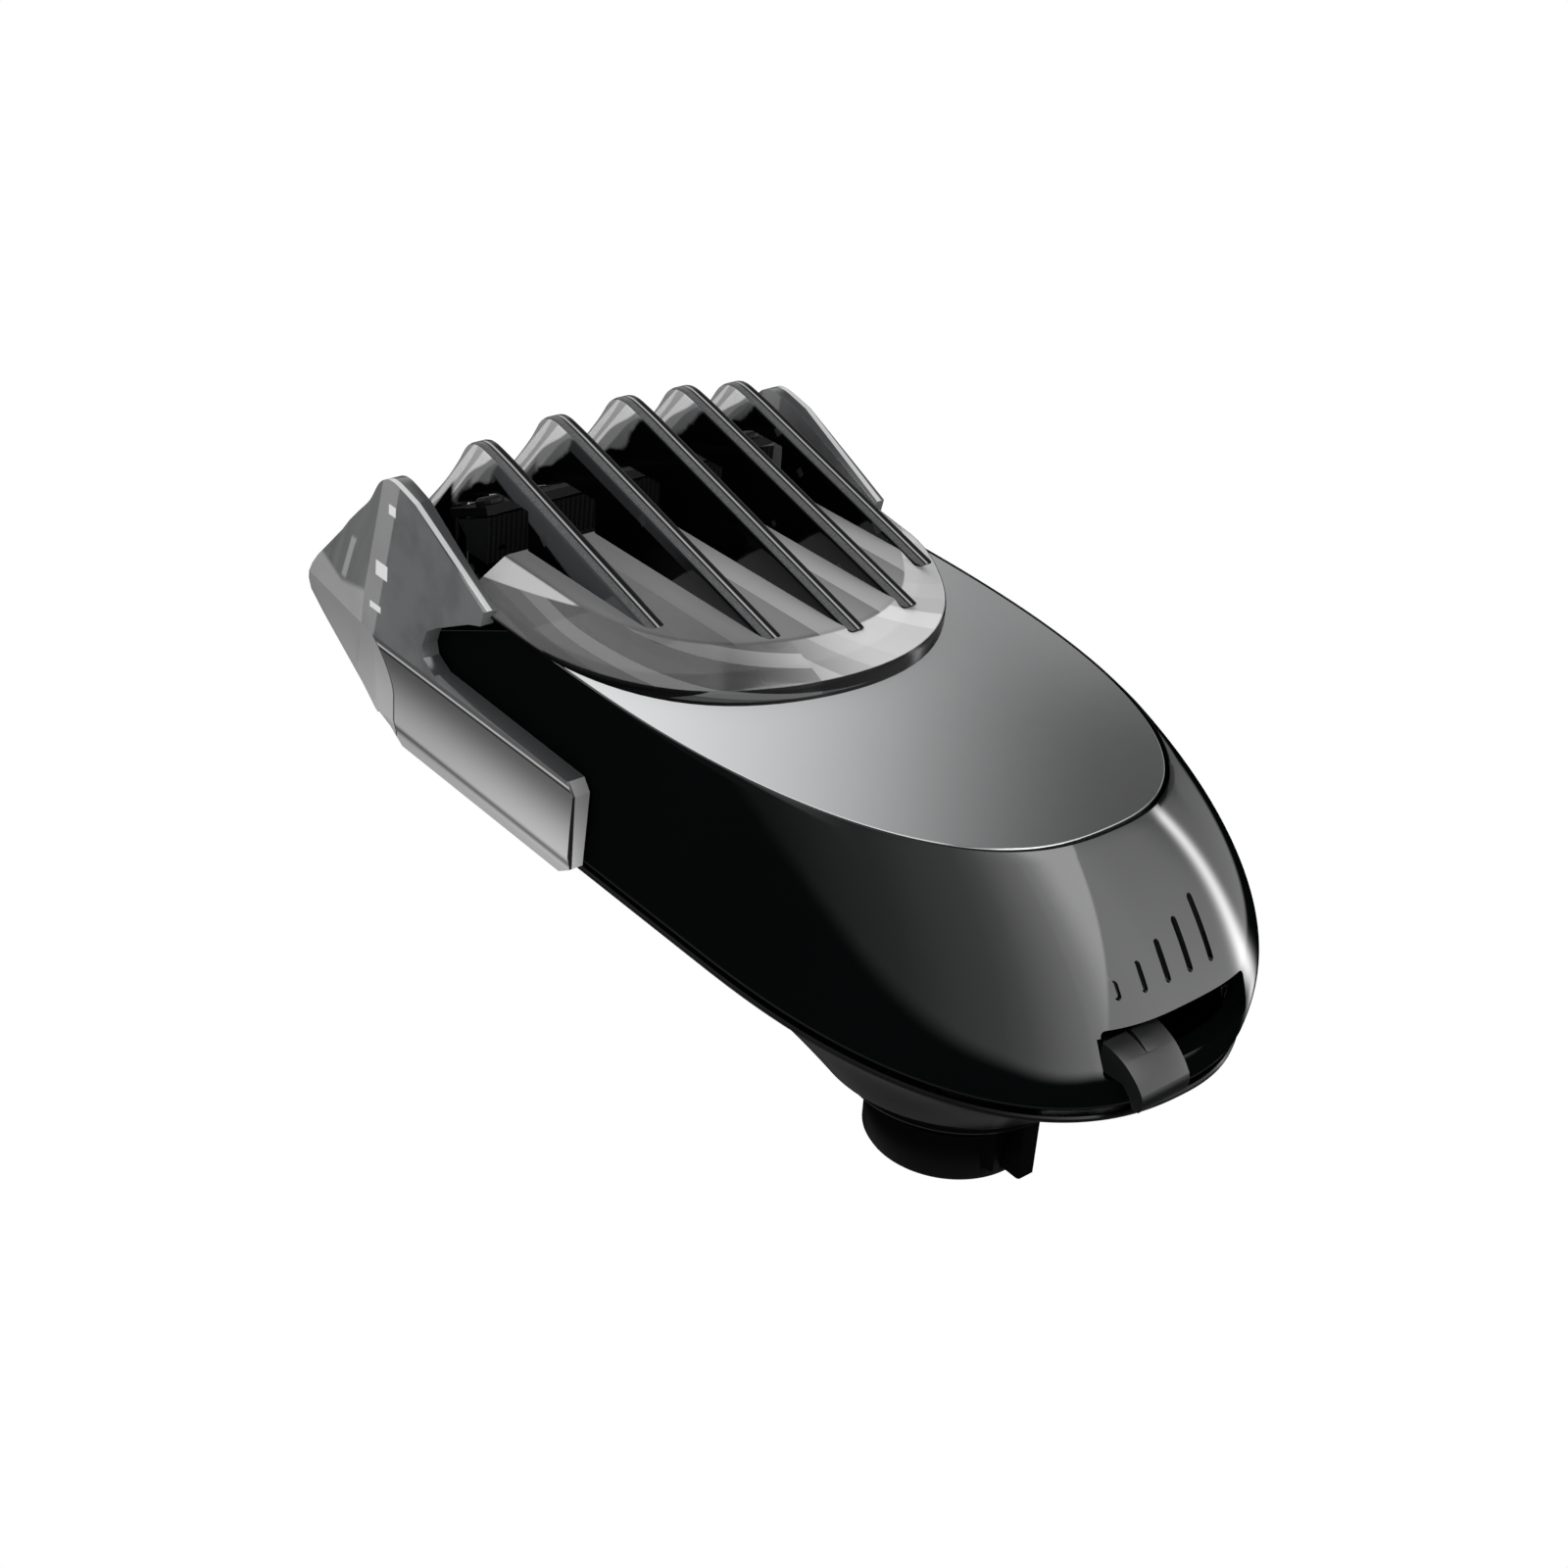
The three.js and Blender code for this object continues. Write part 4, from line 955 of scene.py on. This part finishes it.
def build_chin():
    """The bar across the front that joins the walls and the tines."""
    outline = [(53.95, 27.4), (53.95, 24.6), (57.6, 21.4), (61, 23), (61, 25), (57.2, 27.4)]
    chin = prism("comb_chin", outline, "x", -20.6, 20.6)
    bevel(chin, 0.3, 3, 25)
    soften(settle(chin), 40)
    finish_piece(chin, "comb", FROSTED, "smoked_clear")


FROSTED = smoke("smoke_frosted", frosted_zones)
HOOD_SMOKE = smoke("smoke_hood", hood_zones)

build_housing()
build_panel()
build_deck()
build_belly()
build_coupling()
build_tab()
build_plate()
for number in range(-2, 3):
    build_tine(number)
build_wall(-1)
build_wall(1)
build_hood()
build_chin()

# ---------------------------------------------------------------- CAD pieces that stay

# finish and width of the softened edges
CARRIED = {
    "chassis": (INNER_BLACK, 0.15), "drive_rocker": (ACETAL, 0.15), "comb_carriage": (ACETAL, 0.15),
    "cutter_frame": (FRAME_BLACK, 0.2), "fixed_blade": (BLADE, 0.06), "moving_blade": (BLADE, 0.05),
    "blade_driver": (ACETAL, 0.12), "blade_screw_left": (BLACK_OXIDE, 0.06),
    "blade_screw_right": (BLACK_OXIDE, 0.06),
    "drive_socket": (ACETAL, 0.12), "drive_spindle": (STEEL, 0.08), "spindle_seal": (RUBBER, 0.1),
    "spindle_bush_lower": (BRASS, 0.1), "spindle_bush_upper": (BRASS, 0.1), "rocker_bush": (BRASS, 0.06),
    "rocker_pivot_pin": (STEEL, 0.1), "detent_spring": (STEEL, 0.05), "follower_pin": (STEEL, 0.1),
}
for number in range(1, 5):
    CARRIED[f"shell_screw_{number}"] = (STEEL, 0.08)
for node_name, (finish, edge) in CARRIED.items():
    node = frame["nodes"][node_name]
    node.data.materials.clear()
    node.data.materials.append(finish)
    bevel(node, edge, 2, 40)

# ---------------------------------------------------------------- floor, light and camera

FLOOR_HALF, FLOOR_Z = 1500, -0.4
floor_corners = [(-1, -1), (1, -1), (1, 1), (-1, 1)]
floor = make("floor", [(x * FLOOR_HALF, y * FLOOR_HALF, FLOOR_Z) for x, y in floor_corners], [(0, 1, 2, 3)])
floor_material = bpy.data.materials.new("pale_floor")
floor_material.use_nodes = True
nodes = Nodes(floor_material.node_tree)
glow = nodes.add("ShaderNodeEmission", Color=(1, 1, 1, 1), Strength=1.0)
nodes.put(nodes.add("ShaderNodeOutputMaterial").inputs[0], glow.outputs[0])
floor.data.materials.append(floor_material)
floor.visible_glossy = False
floor.visible_diffuse = False
floor.visible_shadow = False

# brightness of the studio by bearing in degrees: at the level of the part, and above it
SIDE_LIGHT = [
    (0, 0.25), (30, 0.25), (70, 0.35), (100, 1.5), (108, 1.4), (120, 2.5), (140, 3.5), (150, 3.7), (185, 3.7),
    (188, 3.2), (210, 1.95), (220, 1.35), (232, 0.95), (250, 0.7), (263, 0.42), (274, 0.3), (285, 0.12),
    (295, 0.05), (315, 0.12), (360, 0.25)]
LIGHT_ABOVE = [
    (0, 1.1), (30, 1.3), (36, 1.2), (38, 1.1), (40, 0.93), (42, 0.79), (44, 0.58), (46, 0.36), (48, 0.19),
    (50, 0.07), (52, 0.04), (58, 0.04), (90, 0.1), (150, 0.5), (200, 0.8), (270, 0.6), (330, 0.8), (360, 1.1)]
STREAK_BEARING, STREAK_WIDTH, STREAK_HEIGHT = 112.3, 5.0, 5


def build_light():
    """Studio light as a sky: pale for the view and for soft light, with large soft boxes for the gloss."""
    world = bpy.data.worlds.new("studio")
    bpy.context.scene.world = world
    world.use_nodes = True
    n = Nodes(world.node_tree)
    coords = n.add("ShaderNodeTexCoord")
    split = n.add("ShaderNodeSeparateXYZ", Vector=coords.outputs["Generated"])
    x, y, z = split.outputs
    bearing = n.times(n.math("ARCTAN2", x, y), 180 / math.pi)
    around = n.plus(bearing, n.times(n.math("LESS_THAN", bearing, 0), 360))
    height = n.times(n.math("ARCSINE", z), 180 / math.pi)

    def table(value, points):
        """Straight lines through (value, result) points."""
        low, high = points[0][0], points[-1][0]
        peak = max(p[1] for p in points)
        spots = [((a - low) / (high - low), b / peak) for a, b in points]
        ramp = n.tree.nodes.new("ShaderNodeFloatCurve")
        curve = ramp.mapping.curves[0]
        curve.points[0].location = spots[0]
        curve.points[1].location = spots[-1]
        for spot in spots[1:-1]:
            curve.points.new(*spot)
        for point in curve.points:
            point.handle_type = "VECTOR"
        ramp.mapping.update()
        share = n.over(n.minus(value, low), high - low)
        n.put(ramp.inputs["Value"], share)
        return n.times(ramp.outputs[0], peak)

    # walls of the studio, with a brighter shelf
    edge = n.plus(around, n.times(n.times(height, height), 0.0185))
    shelf = n.times(n.step(edge, 177.5, 180.5), n.fall(around, 158, 186))
    side = n.plus(table(around, SIDE_LIGHT), n.times(shelf, 3.4))
    cutoff = n.plus(-8.0, n.times(n.step(around, 130, 190), 10.0))
    cutoff = n.minus(cutoff, n.times(n.step(around, 225, 300), 11.0))
    lit = n.step(n.minus(height, cutoff), -2.5, 2.5)
    wall = n.times(side, lit)
    # a narrow bowed streak, brighter towards its top
    from_middle = n.minus(height, STREAK_HEIGHT)
    slant = n.plus(around, n.times(n.times(from_middle, from_middle), 0.0235))
    off = n.over(n.minus(slant, STREAK_BEARING), STREAK_WIDTH)
    streak = n.math("EXPONENT", n.times(n.times(off, off), -1))
    streak = n.times(streak, n.blend(n.step(height, -26, -3), 3.0, 10.0))
    streak = n.times(streak, n.times(n.step(height, -36, -26), n.fall(height, 24, 36)))
    # a dim ground far below
    ground = n.times(n.fall(height, -55, -36), 0.12)
    wall = n.plus(wall, ground, streak)
    # boxes above, in the half of the sky ahead of the part
    low_edge = n.times(n.fall(height, 27.4, 29.4), n.step(around, 45, 50.5))
    above = n.plus(table(around, LIGHT_ABOVE), n.times(low_edge, 0.26))
    keep = n.times(n.step(height, 8, 16), n.fall(n.size(bearing), 75, 95))
    gloss = n.blend(keep, wall, above)
    path = n.add("ShaderNodeLightPath")
    soft = n.plus(0.75, n.times(n.step(height, -30, 60), 0.35))
    strength = n.blend(path.outputs["Is Glossy Ray"], soft, gloss)
    strength = n.blend(path.outputs["Is Camera Ray"], strength, 1.0)
    background = n.add("ShaderNodeBackground", Color=(1, 1, 1, 1), Strength=strength)
    n.put(n.add("ShaderNodeOutputWorld").inputs[0], background.outputs[0])


build_light()
# the housing and the panel mirror the studio, and not the comb
for obj in bpy.context.scene.collection.all_objects:
    if obj.name.startswith("comb_") and obj.name != "comb_carriage":
        obj.visible_glossy = False

# solved from the photo: lens and place in millimetres, and the camera's own axes
LENS, SENSOR = 54.0925, 36
CAMERA_AT = (-115.1701842, -107.55506734, 125.10939459)
RIGHT = (0.77490347, -0.62900776, 0.06224023)
UP = (0.28032015, 0.43024654, 0.85808422)
BACK = (-0.56652028, -0.64748525, 0.50972308)

camera_data = bpy.data.cameras.new("camera")
camera = bpy.data.objects.new("camera", camera_data)
bpy.context.scene.collection.objects.link(camera)
camera_data.sensor_width = SENSOR
camera_data.lens = LENS
camera_data.clip_start = 0.01
camera_data.clip_end = 10
turn = Matrix((RIGHT, UP, BACK)).transposed().to_4x4()
camera.matrix_world = Matrix.Translation(Vector(CAMERA_AT) * MM) @ turn
bpy.context.scene.camera = camera
bpy.context.scene.view_settings.view_transform = "Standard"
